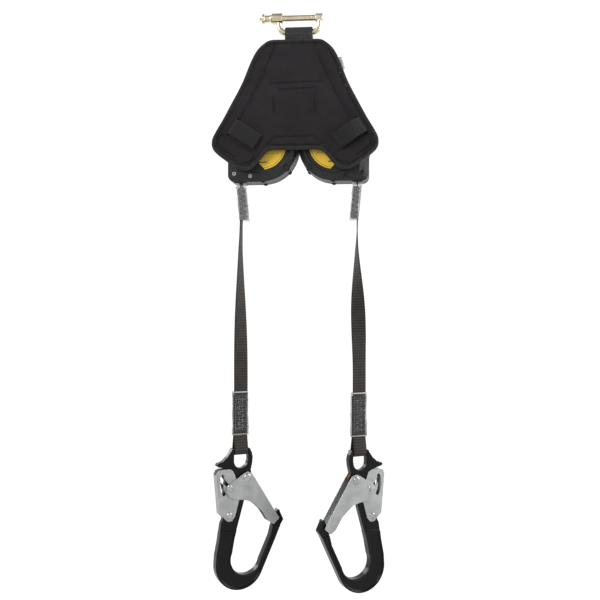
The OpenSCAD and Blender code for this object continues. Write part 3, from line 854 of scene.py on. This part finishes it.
def ring_path(low, high, inset):
    """A rounded rectangle round a box, in the XY plane at its middle height."""
    z = (low.z + high.z) / 2
    radius = 0.005
    path = []
    corners = ((high.x, high.y, 0), (low.x, high.y, 90), (low.x, low.y, 180), (high.x, low.y, 270))
    for x, y, start in corners:
        cx = x - math.copysign(radius + inset, x)
        cy = y - math.copysign(radius + inset, y)
        for k in range(7):
            a = math.radians(start + 15 * k)
            path.append(Vector((cx + radius * math.cos(a), cy + radius * math.sin(a), z)))
    path.append(path[0].copy())
    return path


def rounded_sleeve(name, low, high, material, thick, wobble=0.0, count=26, seed=0.0):
    """An open-ended sleeve of rounded rectangular section between two heights."""
    centre = (low + high) / 2
    half_x, half_y = (high.x - low.x) / 2, (high.y - low.y) / 2
    around = 40
    points, uvs = [], []
    for i in range(count + 1):
        z = high.z + (low.z - high.z) * i / count
        for k in range(around):
            a = 2 * math.pi * k / around
            x = math.copysign(abs(math.cos(a)) ** 0.34, math.cos(a)) * half_x
            y = math.copysign(abs(math.sin(a)) ** 0.34, math.sin(a)) * half_y
            shift = noise.noise(Vector((x * 90 + seed, y * 90, z * 120))) * wobble
            points.append(Vector((centre.x + x * (1 + shift / half_x),
                                  centre.y + y * (1 + shift / half_y), z)))
            uvs.append((a * half_x, high.z - z))
    obj = from_lists(name, points, grid_faces(count + 1, around, True), material, uvs)
    outwards(obj)
    return walled(obj, thick, -1)


def build_pouch():
    low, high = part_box("label_pouch")
    count = 14
    points, uvs = [], []
    # the sheet leans as the CAD pouch does, and bows a little
    corner = [Vector((low.x, 0, low.z + 0.028)), Vector((high.x - 0.006, 0, high.z)),
              Vector((high.x, 0, low.z + 0.020)), Vector((low.x + 0.005, 0, low.z))]
    y = (low.y + high.y) / 2
    for i in range(count + 1):
        for k in range(count + 1):
            s, t = i / count, k / count
            top = corner[0].lerp(corner[1], s)
            bottom = corner[3].lerp(corner[2], s)
            spot = top.lerp(bottom, t)
            spot.y = y + 0.0016 * math.sin(math.pi * s) * math.sin(math.pi * t)
            points.append(spot)
            uvs.append((s, t))
    faces = grid_faces(count + 1, count + 1, False)
    obj = walled(from_lists("label_pouch_film", points, faces, "pouch", uvs), 0.0008, 0)
    settle(obj, "absorber", "label_pouch")


# ---- pad -----------------------------------------------------------------------------------

# right half of the pad's outline from the middle of the top, across and up, in millimetres
PAD_HALF = [(0, -37), (22, -37), (40, -37.3), (50, -42), (62, -54), (72.5, -75), (85.5, -109),
            (102.5, -143), (117, -170), (129, -190), (135.5, -205), (132, -220), (108, -239),
            (90, -249.5), (77, -249.5), (65, -240), (50, -222.5), (40, -217.4), (20, -217)]
PAD_MIDDLE = (-0.004, -0.0095)
SIDE_SEAM = [(33, -41), (43, -70), (56, -101), (73, -136), (92, -172)]
PATCH = [(101, -232), (121, -219), (127, -207), (116, -196), (84, -217), (68, -228),
         (72, -240), (84, -243)]
BEND_HEIGHT = -0.158
LEAN_HEIGHT = -0.036
TAB_LEAN = math.radians(33)
SEAM_DEPTH, SEAM_WIDTH = 0.0024, 0.0018
SLIT_DEPTH, SLIT_WIDTH = 0.0042, 0.0017

PAD_LOW, PAD_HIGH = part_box("back_pad")


def pad_back(z):
    """Y of the pad's back face at height z: leaning off the absorber, upright at the reels."""
    back_low = PAD_LOW.y + 0.012
    back_top = -0.016
    t = (LEAN_HEIGHT - z) / (LEAN_HEIGHT - BEND_HEIGHT)
    soft = 0.06
    if t < 1 - soft:
        reach = t
    elif t < 1 + soft:
        reach = t - (t - 1 + soft) ** 2 / (4 * soft)
    else:
        reach = 1.0
    return back_top + (back_low - back_top) * reach


def bent(x, z, height):
    return Vector((x, pad_back(z) - height, z))


def mm_points(points, mirror=1):
    return [Vector((x * MM * mirror + PAD_MIDDLE[0], z * MM + PAD_MIDDLE[1], 0)) for x, z in points]


def pad_outline():
    return curve_points(mm_points(PAD_HALF) + mm_points(PAD_HALF[:0:-1], -1), 6, closed=True)


def pad_lines():
    """Seams of the pad's face, flat: across, up."""
    lines = []
    for mirror in (1, -1):
        lines.append(curve_points(mm_points(SIDE_SEAM, mirror), 8))
        patch = mm_points(PATCH, mirror)
        lines.append(curve_points(patch, 6))
        lines.append(mm_points([(34 * mirror, -132), (34 * mirror, -159)]))
    lines.append(mm_points([(-40, -110.5), (46, -108.5)]))
    lines.append(mm_points([(-27, -121.5), (34, -118.5)]))
    lines.append(mm_points([(-33, -200), (33, -200)]))
    lines += [mm_points([(33 * m, -200), (46 * m, -212)]) for m in (1, -1)]
    return lines


def shrunk(outline, distance_in):
    """The closed clockwise outline moved inwards, square to itself."""
    out = []
    for i, spot in enumerate(outline):
        along = outline[(i + 1) % len(outline)] - outline[i - 1]
        out.append(spot + Vector((along.y, -along.x, 0)).normalized() * distance_in)
    return out


def dense(line, gap):
    out = []
    for a, b in zip(line, line[1:]):
        steps = max(1, int((b - a).length / gap))
        out += [a.lerp(b, i / steps) for i in range(steps)]
    return out + [line[-1]]


def nearest_gap(flat, spots):
    """Distance of each flat point (rows of x, z) from the nearest spot."""
    best = np.full(len(flat), 1.0)
    for start in range(0, len(spots), 40):
        part = spots[start:start + 40]
        gap = np.linalg.norm(flat[:, None, :] - part[None, :, :], axis=2).min(axis=1)
        best = np.minimum(best, gap)
    return best


def puff(obj, pins, cap):
    """Cloth pressure for twenty frames, with the seams held and the movement capped."""
    scene = bpy.context.scene
    rest = np.array([v.co[:] for v in obj.data.vertices])
    group = obj.vertex_groups.new(name="seams")
    group.add([int(i) for i in pins], 1.0, "REPLACE")
    cloth = obj.modifiers.new("puff", "CLOTH")
    cloth.settings.use_pressure = True
    cloth.settings.uniform_pressure_force = 4.0
    cloth.settings.effector_weights.gravity = 0.0
    cloth.settings.vertex_group_mass = "seams"
    cloth.settings.quality = 4
    cloth.point_cache.frame_start = 1
    cloth.point_cache.frame_end = 20
    for step in range(1, 21):
        scene.frame_set(step)
    graph = bpy.context.evaluated_depsgraph_get()
    moved = obj.evaluated_get(graph).to_mesh()
    now = np.array([v.co[:] for v in moved.vertices])
    obj.evaluated_get(graph).to_mesh_clear()
    obj.modifiers.clear()
    shift = now - rest
    far = np.linalg.norm(shift, axis=1, keepdims=True)
    shift *= np.minimum(1.0, cap / np.maximum(far, 1e-9))
    obj.data.vertices.foreach_set("co", (rest + shift).ravel().astype(np.float32))
    scene.frame_set(1)
    obj.vertex_groups.clear()


def build_pad():
    props = bpy.context.scene.lanyard_pad
    outline = pad_outline()
    inset = shrunk(outline, 0.0018)
    low, high = 0.0018, props.thickness - 0.0016
    made = bmesh.new()
    ring = [made.verts.new((p.x, p.y, low)) for p in inset]
    face = made.faces.new(ring)
    lifted = bmesh.ops.extrude_face_region(made, geom=[face])
    for part in lifted["geom"]:
        if isinstance(part, bmesh.types.BMVert):
            part.co.z = high
    bmesh.ops.recalc_face_normals(made, faces=made.faces)
    mesh = bpy.data.meshes.new("pad_foam")
    made.to_mesh(mesh)
    made.free()
    pad = new_object("pad_foam", mesh, "pad_fabric")
    grid = pad.modifiers.new("grid", "REMESH")
    grid.mode = "VOXEL"
    grid.voxel_size = props.voxel
    bake(pad)
    lines = pad_lines()
    spots = np.array([(p.x, p.y) for line in lines for p in dense(line, 0.0015)])
    flat = np.array([(v.co.x, v.co.y) for v in pad.data.vertices])
    near = nearest_gap(flat, spots)
    puff(pad, np.nonzero(near < props.voxel * 0.6)[0], props.puff)
    for face in pad.data.polygons:
        face.use_smooth = True
    finer = pad.modifiers.new("finer", "SUBSURF")
    finer.levels = finer.render_levels = 2
    bake(pad)
    press(pad, spots, props)
    settle(pad, "absorber", "back_pad")
    edge = along_lines("pad_binding", [outline], "edge_tape",
                       {"Width": 0.0058, "Depth": props.thickness + 0.0006, "Round": 0.0024},
                       "binding", closed=True)
    for vertex in edge.data.vertices:
        x, z, h = vertex.co
        vertex.co = bent(x, z, h + props.thickness / 2)
    add_flat_uv(edge)
    outwards(edge)
    settle(edge, "absorber", slot="pad_fabric")
    seam_height = props.thickness - 0.0017
    raised = [[bent(p.x, p.y, seam_height) for p in dense(line, 0.002)] for line in lines]
    stitches("pad_stitching", raised, "absorber")
    rim = shrunk(outline, 0.0036)
    rim_line = [[bent(p.x, p.y, props.thickness - 0.0001) for p in rim + [rim[0]]]]
    stitches("binding_stitching", rim_line, "absorber", pitch=0.0036, length=0.0024, radius=0.0003)


def add_flat_uv(obj):
    layer = obj.data.uv_layers.new(name="UVMap")
    for loop in obj.data.loops:
        spot = obj.data.vertices[loop.vertex_index].co
        layer.data[loop.index].uv = (spot.x + spot.y, spot.z)


def press(pad, spots, props):
    """Presses the seams into the face, sinks the slits, then bends the flat pad to its place."""
    data = pad.data
    co = np.zeros(len(data.vertices) * 3, np.float32)
    data.vertices.foreach_get("co", co)
    co = co.reshape(-1, 3)
    gap = nearest_gap(co[:, :2], spots)
    top = co[:, 2] > props.thickness * 0.5
    co[top, 2] -= SEAM_DEPTH * np.exp(-(gap[top] / SEAM_WIDTH) ** 2)
    slits = []
    for side, sign in SIDES.items():
        slit = joint_place(f"tab_{side}_open")
        reach = Vector((sign * math.sin(TAB_LEAN), math.cos(TAB_LEAN), 0)) * 0.0145
        spot = Vector((slit.x, slit.z, 0))
        slits += dense([spot - reach, spot + reach], 0.0012)
    slit_gap = nearest_gap(co[:, :2], np.array([(p.x, p.y) for p in slits]))
    co[top, 2] -= SLIT_DEPTH * np.exp(-(slit_gap[top] / SLIT_WIDTH) ** 2)
    for i in range(len(co)):
        x, z, h = float(co[i, 0]), float(co[i, 1]), float(co[i, 2])
        wave = noise.noise(Vector((x * 22, z * 22, 0))) * 0.0009
        co[i] = bent(x, z, h + (wave if h > props.thickness * 0.5 else 0))[:]
    data.vertices.foreach_set("co", co.ravel())
    data.update()
    outwards(pad)


def build_tabs():
    """Hook-and-loop tabs that come out of the slits and lie over the lobes."""
    for side, sign in SIDES.items():
        node = "tab_" + side
        slit = joint_place(f"tab_{side}_open")
        run = Vector((sign * math.cos(TAB_LEAN), 0, -math.sin(TAB_LEAN)))
        out = Vector((0, -1, 0))
        across = run.cross(out).normalized()
        lift = 0.0016 if side == "left" else 0.0052
        profile = [(-0.003, -0.0042), (0.0005, -0.0012), (0.004, 0.0016),
                   (0.014, 0.0012 + lift * 0.8), (0.026, 0.0010 + lift),
                   (0.038, 0.0008 + lift * 0.6), (0.048, 0.0006)]
        path = curve_points([slit + run * d + out * h for d, h in profile], 7)
        tape = band("tab_tape_" + side, path, across, 0.0275, 0.0022, "hook_and_loop")
        settle(tape, node + "_body", node)
        lines = []
        for edge in (-0.0115, 0.0115):
            lines.append([p + out * 0.00115 + across * edge for p in path[10:]])
        lines.append([path[-3] + out * 0.00115 + across * e for e in (-0.0115, 0.0115)])
        obj = along_lines("tab_stitching_" + side, lines, "stitches",
                          {"Pitch": 0.0036, "Length": 0.0024, "Radius": 0.00028}, "dark_thread")
        settle(obj, node + "_body", slot="hook_and_loop")


# ---- reels ---------------------------------------------------------------------------------


def build_reels():
    for side in SIDES:
        for node, width in (("front_cover", 0.0009), ("webbing_guide", 0.0006),
                            ("cover_screws", 0.0003)):
            finish = "screw_heads" if node == "cover_screws" else None
            dressed(f"{node}_{side}", finish, bevel=width)
        paint("label_" + side, "label_" + side)
        for node in ("rear_cover", "frame_plates", "frame_posts", "drum_axle", "drum",
                     "webbing_coil", "ratchet_ring", "pawl_a", "pawl_b", "mainspring"):
            paint(f"{node}_{side}", SLOT_OF[f"{node}_{side}"])
        low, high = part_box("webbing_tail_" + side)
        x = (low.x + high.x) / 2
        steps = 40
        path = [Vector((x, 0, high.z + (low.z - high.z) * i / steps)) for i in range(steps + 1)]
        tail = band("tail_strap_" + side, path, Vector((0, 1, 0)), high.y - low.y, 0.0017,
                    "webbing")
        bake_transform(tail)
        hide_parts("webbing_tail_" + side)


# ---- legs ----------------------------------------------------------------------------------


def eye_bar(side):
    """Middle of the hook's eye bar, the bar's direction and the direction across the webbing."""
    row = joint(f"hook_{side}_swing")
    along = Vector(row["axis"]).normalized()
    return Vector(row["pos_m"]), along, along.cross(Vector((0, 0, 1))).normalized()


def mouth_of(side):
    """Where the webbing leaves the reel."""
    low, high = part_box("webbing_tail_" + side)
    return Vector(((low.x + high.x) / 2, 0, low.z))


def strand(side):
    """Middle line of a leg's webbing and its width direction at each point."""
    mouth = mouth_of(side)
    bar, along, _ = eye_bar(side)
    y_axis = Vector((0, 1, 0))
    twist_from, twist_to = -0.345, -0.600
    total = y_axis.angle(along)
    spin = 1 if along.x > 0 else -1
    path, across = [], []
    z = mouth.z
    end = bar.z + 0.030
    while z > end:
        t = max(0.0, min(1.0, (twist_from - z) / (twist_from - twist_to)))
        ease = t * t * (3 - 2 * t)
        x = mouth.x + (bar.x - mouth.x) * ease
        fade = min(1.0, max(0.0, (mouth.z - z - 0.07) / 0.05))
        sway = 0.0012 * math.sin((z - mouth.z) * 14.0) * fade
        path.append(Vector((x + sway, 0, z)))
        a = -spin * total * ease
        across.append(Vector((-math.sin(a), math.cos(a), 0)))
        z -= 0.004
    return path, across


def build_legs():
    web = bpy.context.scene.lanyard_webbing
    for side, sign in SIDES.items():
        body = "leg_" + side
        path, across = strand(side)
        main = band("leg_webbing_" + side, path, across, web.width, web.thickness, "webbing")
        settle(main, body, "webbing_leg_" + side)
        build_eye_loop(side, body, web)
        build_fold_pack(side, sign, body, web)
        build_sleeves(side, sign, body)


def build_eye_loop(side, body, web):
    bar, along, normal = eye_bar(side)
    up = Vector((0, 0, 1))
    top = arc_points(bar, 0.0064, 78, 282, 22, along)
    lap = 0.0020

    def arm(end):
        sign = 1 if (end - bar).dot(normal) > 0 else -1
        rise = [(0.006, 0.0060), (0.012, 0.0050), (0.019, 0.0036),
                (0.026, lap + 0.0003), (0.032, lap)]
        rise += [(0.032 + 0.0045 * k, lap) for k in range(1, 15)]
        return [bar + up * z + normal * (sign * n) for z, n in rise]

    path = arm(top[0])[::-1] + top + arm(top[-1])
    loop = band("eye_loop_" + side, path, along, web.width - 0.0008, web.thickness, "webbing")
    settle(loop, body, slot="webbing")
    face = lap + web.thickness / 2 + 0.0001
    lines = []
    for sign in (1, -1):
        for a in (-0.0095, -0.0032, 0.0032, 0.0095):
            lines.append([bar + up * z + along * a + normal * (sign * face)
                          for z in (0.036, 0.092)])
        zig = []
        for k in range(13):
            a = 0.0062 if k % 2 else -0.0062
            zig.append(bar + up * (0.037 + 0.0045 * k) + along * a + normal * (sign * face))
        lines.append(zig)
        for z in (0.0385, 0.0875):
            lines.append([bar + up * z + along * a + normal * (sign * face)
                          for a in (-0.0085, 0.0085)])
    stitches("lap_stitching_" + side, lines, body, "pale_thread", 0.0040, 0.0030, 0.00040)


def build_fold_pack(side, sign, body, web):
    """Webbing folded beside the strand and stitched through, under the upper sleeve."""
    low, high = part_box("upper_sleeve_" + side)
    mouth_x = mouth_of(side).x
    runs, gap, first = 5, 0.00215, 0.0023
    top, bottom = high.z - 0.004, low.z + 0.004
    path = []
    for i in range(runs):
        x = mouth_x + sign * (first + gap * i)
        ends = (top, bottom) if i % 2 == 0 else (bottom, top)
        path += [Vector((x, 0, ends[0] + (ends[1] - ends[0]) * k / 10)) for k in range(11)]
        if i < runs - 1:
            turn = ends[1] + (0.0011 if ends[1] > ends[0] else -0.0011)
            path.append(Vector((x + sign * gap / 2, 0, turn)))
    pack = band("fold_pack_" + side, path, Vector((0, 1, 0)), web.width - 0.0006,
                web.thickness - 0.0001, "webbing")
    settle(pack, body, slot="webbing")
    lines = []
    for y in (-web.width / 2 - 0.0001, web.width / 2 + 0.0001):
        zig = []
        for k in range(12):
            x = mouth_x + sign * (0.0015 if k % 2 else first + gap * (runs - 1))
            zig.append(Vector((x, y, top - 0.002 - 0.0042 * k)))
        lines.append(zig)
    outer = mouth_x - sign * (web.thickness / 2 + 0.0002)
    for y in (-0.009, -0.003, 0.003, 0.009):
        lines.append([Vector((outer, y, top - 0.002)), Vector((outer, y, bottom + 0.002))])
    sewing = stitches("fold_stitching_" + side, lines, body, "pale_thread", 0.0034, 0.0036, 0.00055)
    lean_folds(pack, side, sign)
    lean_folds(sewing, side, sign)


def lean_folds(obj, side, sign):
    """Leans the folded webbing and its sleeve out at the top, over the strand."""
    low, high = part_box("upper_sleeve_" + side)
    for vertex in obj.data.vertices:
        t = max(0.0, (vertex.co.z - low.z) / (high.z - low.z))
        vertex.co.x -= sign * 0.0056 * t
    obj.data.update()


def build_sleeves(side, sign, body):
    low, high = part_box("upper_sleeve_" + side)
    upper = rounded_sleeve("upper_vinyl_" + side, low, high, "clear_sleeve", 0.0005, 0.0012, 36,
                           sign * 3.0)
    lean_folds(upper, side, sign)
    settle(upper, body, "upper_sleeve_" + side)
    tie_bead(side, sign, body, high)
    bar, along, normal = eye_bar(side)
    half = Vector((0.0146, 0.0036, 0))
    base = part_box("lower_sleeve_" + side)
    flat_low = Vector((-half.x, -half.y, base[0].z))
    flat_high = Vector((half.x, half.y, base[1].z))
    lower = rounded_sleeve("lower_vinyl_" + side, flat_low, flat_high, "sealed_sleeve", 0.0005,
                           0.0009, 40, sign * 7.0)
    turn = Matrix(((along.x, normal.x, 0, bar.x), (along.y, normal.y, 0, bar.y),
                   (0, 0, 1, 0), (0, 0, 0, 1)))
    lower.data.transform(turn)
    outwards(lower)
    settle(lower, body, "lower_sleeve_" + side)


def tie_bead(side, sign, body, high):
    """The upper sleeve's sealed corner: a small curl of vinyl on its outer top corner."""
    centre = Vector((mouth_of(side).x - sign * 0.0055, -0.0135, high.z - 0.0048))
    radius, count = 0.0021, 20
    ring = [centre + Vector((radius * math.cos(a), 0, radius * math.sin(a)))
            for a in (2 * math.pi * i / count for i in range(count))]
    ring.append(ring[0].copy())
    # milky white vinyl: partly the sealed corner's own colour, partly a painted highlight on the sleeve's rounded
    # top
    curl = band("sleeve_curl_" + side, ring, Vector((0, 1, 0)), 0.0034, 0.0012, "pouch")
    settle(curl, body, slot="clear_sleeve")


# ---- hooks ---------------------------------------------------------------------------------


def face_toward(node, start, way):
    """Where a ray from start meets the CAD node, or None."""
    obj = NODES[node]
    back = obj.matrix_world.inverted()
    hit, place, _, _ = obj.ray_cast(back @ start, (back.to_3x3() @ way).normalized())
    return obj.matrix_world @ place if hit else None


def domed_head(name, place, way, radius, height, material):
    """A rivet head standing on place, along way."""
    made = bmesh.new()
    bmesh.ops.create_uvsphere(made, u_segments=28, v_segments=14, radius=1.0)
    turn = way.to_track_quat("Z", "Y").to_matrix().to_4x4()
    shape = Matrix.Diagonal((radius, radius, height, 1.0))
    bmesh.ops.transform(made, matrix=Matrix.Translation(place) @ turn @ shape, verts=made.verts)
    mesh = bpy.data.meshes.new(name)
    made.to_mesh(mesh)
    made.free()
    for face in mesh.polygons:
        face.use_smooth = True
    return new_object(name, mesh, material)


PIN_ACROSS, PIN_HEIGHT = 0.1163, -0.7955
PIN_RADIUS, PIN_RISE = 0.0042, 0.0016


def build_gate_pins(side, sign):
    """Stop pin in the gate's rounded end, with a head on each face."""
    outside = 0.1
    centre = Vector((-sign * PIN_ACROSS, 0, PIN_HEIGHT))
    for part, way in (("front", Vector((0, -1, 0))), ("rear", Vector((0, 1, 0)))):
        place = face_toward("hook_gate_" + side, centre + way * outside, -way)
        if place:
            head = domed_head(f"gate_pin_{part}_{side}", place, way, PIN_RADIUS, PIN_RISE,
                              "bright_steel")
            settle(head, BODY_OF["hook_gate_" + side], slot=SLOT_OF["hook_gate_" + side])


def build_hooks():
    for side, sign in SIDES.items():
        build_gate_pins(side, sign)
        dressed("hook_body_" + side, bevel=0.0012, angle=35)
        dressed("hook_gate_" + side, bevel=0.0004)
        dressed("lock_lever_" + side, bevel=0.0004)
        dressed("hook_rivets_" + side, bevel=0.0004)
        paint("gate_spring_" + side, "copper_spring")


# ---- stage ---------------------------------------------------------------------------------


# name, place in metres, width and height in metres, watts
LIGHTS = (("key", (-1.5, -1.7, 0.8), (0.9, 1.4), 44), ("fill", (2.2, -0.45, 0.0), (0.7, 1.8), 46),
          ("rim_left", (-1.4, 1.1, 0.4), (0.6, 1.8), 16),
          ("rim_right", (1.5, 1.0, 0.3), (0.6, 1.8), 16))


def area_light(name, place, size, energy, target):
    data = bpy.data.lights.new(name, "AREA")
    data.shape = "RECTANGLE"
    data.size, data.size_y = size
    data.energy = energy
    lamp = bpy.data.objects.new(name, data)
    lamp.location = place
    lamp.rotation_euler = (target - Vector(place)).to_track_quat("-Z", "Y").to_euler()
    bpy.context.scene.collection.objects.link(lamp)


def build_stage():
    scene = bpy.context.scene
    props = scene.lanyard_stage
    low, _ = CAD_BOX
    target = Vector((0.0017, 0.0, -0.479))
    a = props.azimuth
    data = bpy.data.cameras.new("camera")
    data.sensor_width = 36.0
    data.lens = 36.0 * props.distance / props.across
    camera = bpy.data.objects.new("camera", data)
    camera.location = target + props.distance * Vector((math.sin(a), -math.cos(a), 0))
    camera.rotation_euler = (target - camera.location).to_track_quat("-Z", "Y").to_euler()
    scene.collection.objects.link(camera)
    scene.camera = camera

    floor_z = low[2] - 2.3
    reach, rise, bend, around = 18.0, 24.0, 5.0, 72
    profile = [(0.02, 0.0), (3.0, 0.0), (reach - bend, 0.0)]
    turns = [math.radians(t) for t in range(10, 91, 10)]
    profile += [(reach - bend + bend * math.sin(t), bend - bend * math.cos(t)) for t in turns]
    profile.append((reach, rise))
    points = [Vector((r * math.cos(a), r * math.sin(a), floor_z + z)) for r, z in profile
              for a in (2 * math.pi * k / around for k in range(around))]
    faces = grid_faces(len(profile), around, True)
    faces.append(tuple(reversed(range(around))))
    g = Graph("paper")
    grain = g.noise(60.0, 2.0)
    tint = tuple(props.floor)
    _, y, _ = g.parts(g.place())
    glow = g.ramp(y, -2.0, 1.0, 0.62, 1.0)
    MATERIALS["paper"] = g.finish({
        "Base Color": g.mix(g.ramp(grain, 0.3, 0.7, 0.0, 1.0), tone(tint, 0.985), tint),
        "Roughness": 0.9, "Specular IOR Level": 0.1,
        "Emission Color": g.mix(glow, (0.12, 0.12, 0.12), (1.0, 1.0, 1.0)),
        "Emission Strength": 0.72})
    backdrop = from_lists("backdrop", points, faces, "paper")
    backdrop.visible_diffuse = False

    world = bpy.data.worlds.new("studio")
    world.use_nodes = True
    world.node_tree.nodes["Background"].inputs[0].default_value = (1, 1, 1, 1)
    world.node_tree.nodes["Background"].inputs[1].default_value = 0.42
    scene.world = world
    for name, place, size, watts in LIGHTS:
        area_light(name, place, size, watts, target)
    scene.view_settings.view_transform = "Standard"


# ---- operators and panel -------------------------------------------------------------------


def build_op(name, label, text, work):
    """An operator class whose execute runs work."""

    def execute(self, context):
        work()
        return {"FINISHED"}

    return type("LANYARD_OT_" + name, (bpy.types.Operator,), {
        "bl_idname": "lanyard." + name, "bl_label": label, "__doc__": text, "execute": execute})


OPERATORS = [
    build_op("materials", "Materials", "Makes every finish", build_materials),
    build_op("trees", "Node trees", "Makes the stitch and tape trees", build_trees),
    build_op("stage", "Stage", "Camera, backdrop and lights", build_stage),
    build_op("legs", "Legs", "Webbing legs with loops, folds and sleeves", build_legs),
    build_op("connector", "Connector", "Bow, pin, knob and button", build_connector),
    build_op("absorber", "Absorber", "Top loop, cover, keeper, yoke and pouch", build_absorber),
    build_op("pad", "Pad", "Bound neoprene pad with its seams", build_pad),
    build_op("tabs", "Tabs", "Hook-and-loop tabs", build_tabs),
    build_op("reels", "Reels", "Casings, labels and what is inside", build_reels),
    build_op("hooks", "Hooks", "Hook bodies, gates and levers", build_hooks),
]


class LANYARD_PT_panel(bpy.types.Panel):
    """Lists the lanyard's operators and sizes"""
    bl_label = "Lanyard"
    bl_space_type = "VIEW_3D"
    bl_region_type = "UI"
    bl_category = "Lanyard"

    def draw(self, context):
        for group in ("lanyard_webbing", "lanyard_pad", "lanyard_metal", "lanyard_stage"):
            box = self.layout.box()
            settings = getattr(context.scene, group)
            for key in settings.bl_rna.properties.keys():
                if key not in ("rna_type", "name"):
                    box.prop(settings, key)
        for operator in OPERATORS:
            self.layout.operator(operator.bl_idname)


GROUPS = {"lanyard_webbing": LanyardWebbing, "lanyard_pad": LanyardPad,
          "lanyard_metal": LanyardMetal, "lanyard_stage": LanyardStage}
CLASSES = list(GROUPS.values()) + OPERATORS + [LANYARD_PT_panel]


def register():
    for cls in CLASSES:
        bpy.utils.register_class(cls)
    for key, cls in GROUPS.items():
        setattr(bpy.types.Scene, key, PointerProperty(type=cls))


def unregister():
    for key in GROUPS:
        delattr(bpy.types.Scene, key)
    for cls in reversed(CLASSES):
        bpy.utils.unregister_class(cls)


def main():
    register()
    for operator in OPERATORS:
        group, name = operator.bl_idname.split(".")
        getattr(getattr(bpy.ops, group), name)()


if __name__ == "__main__":
    main()
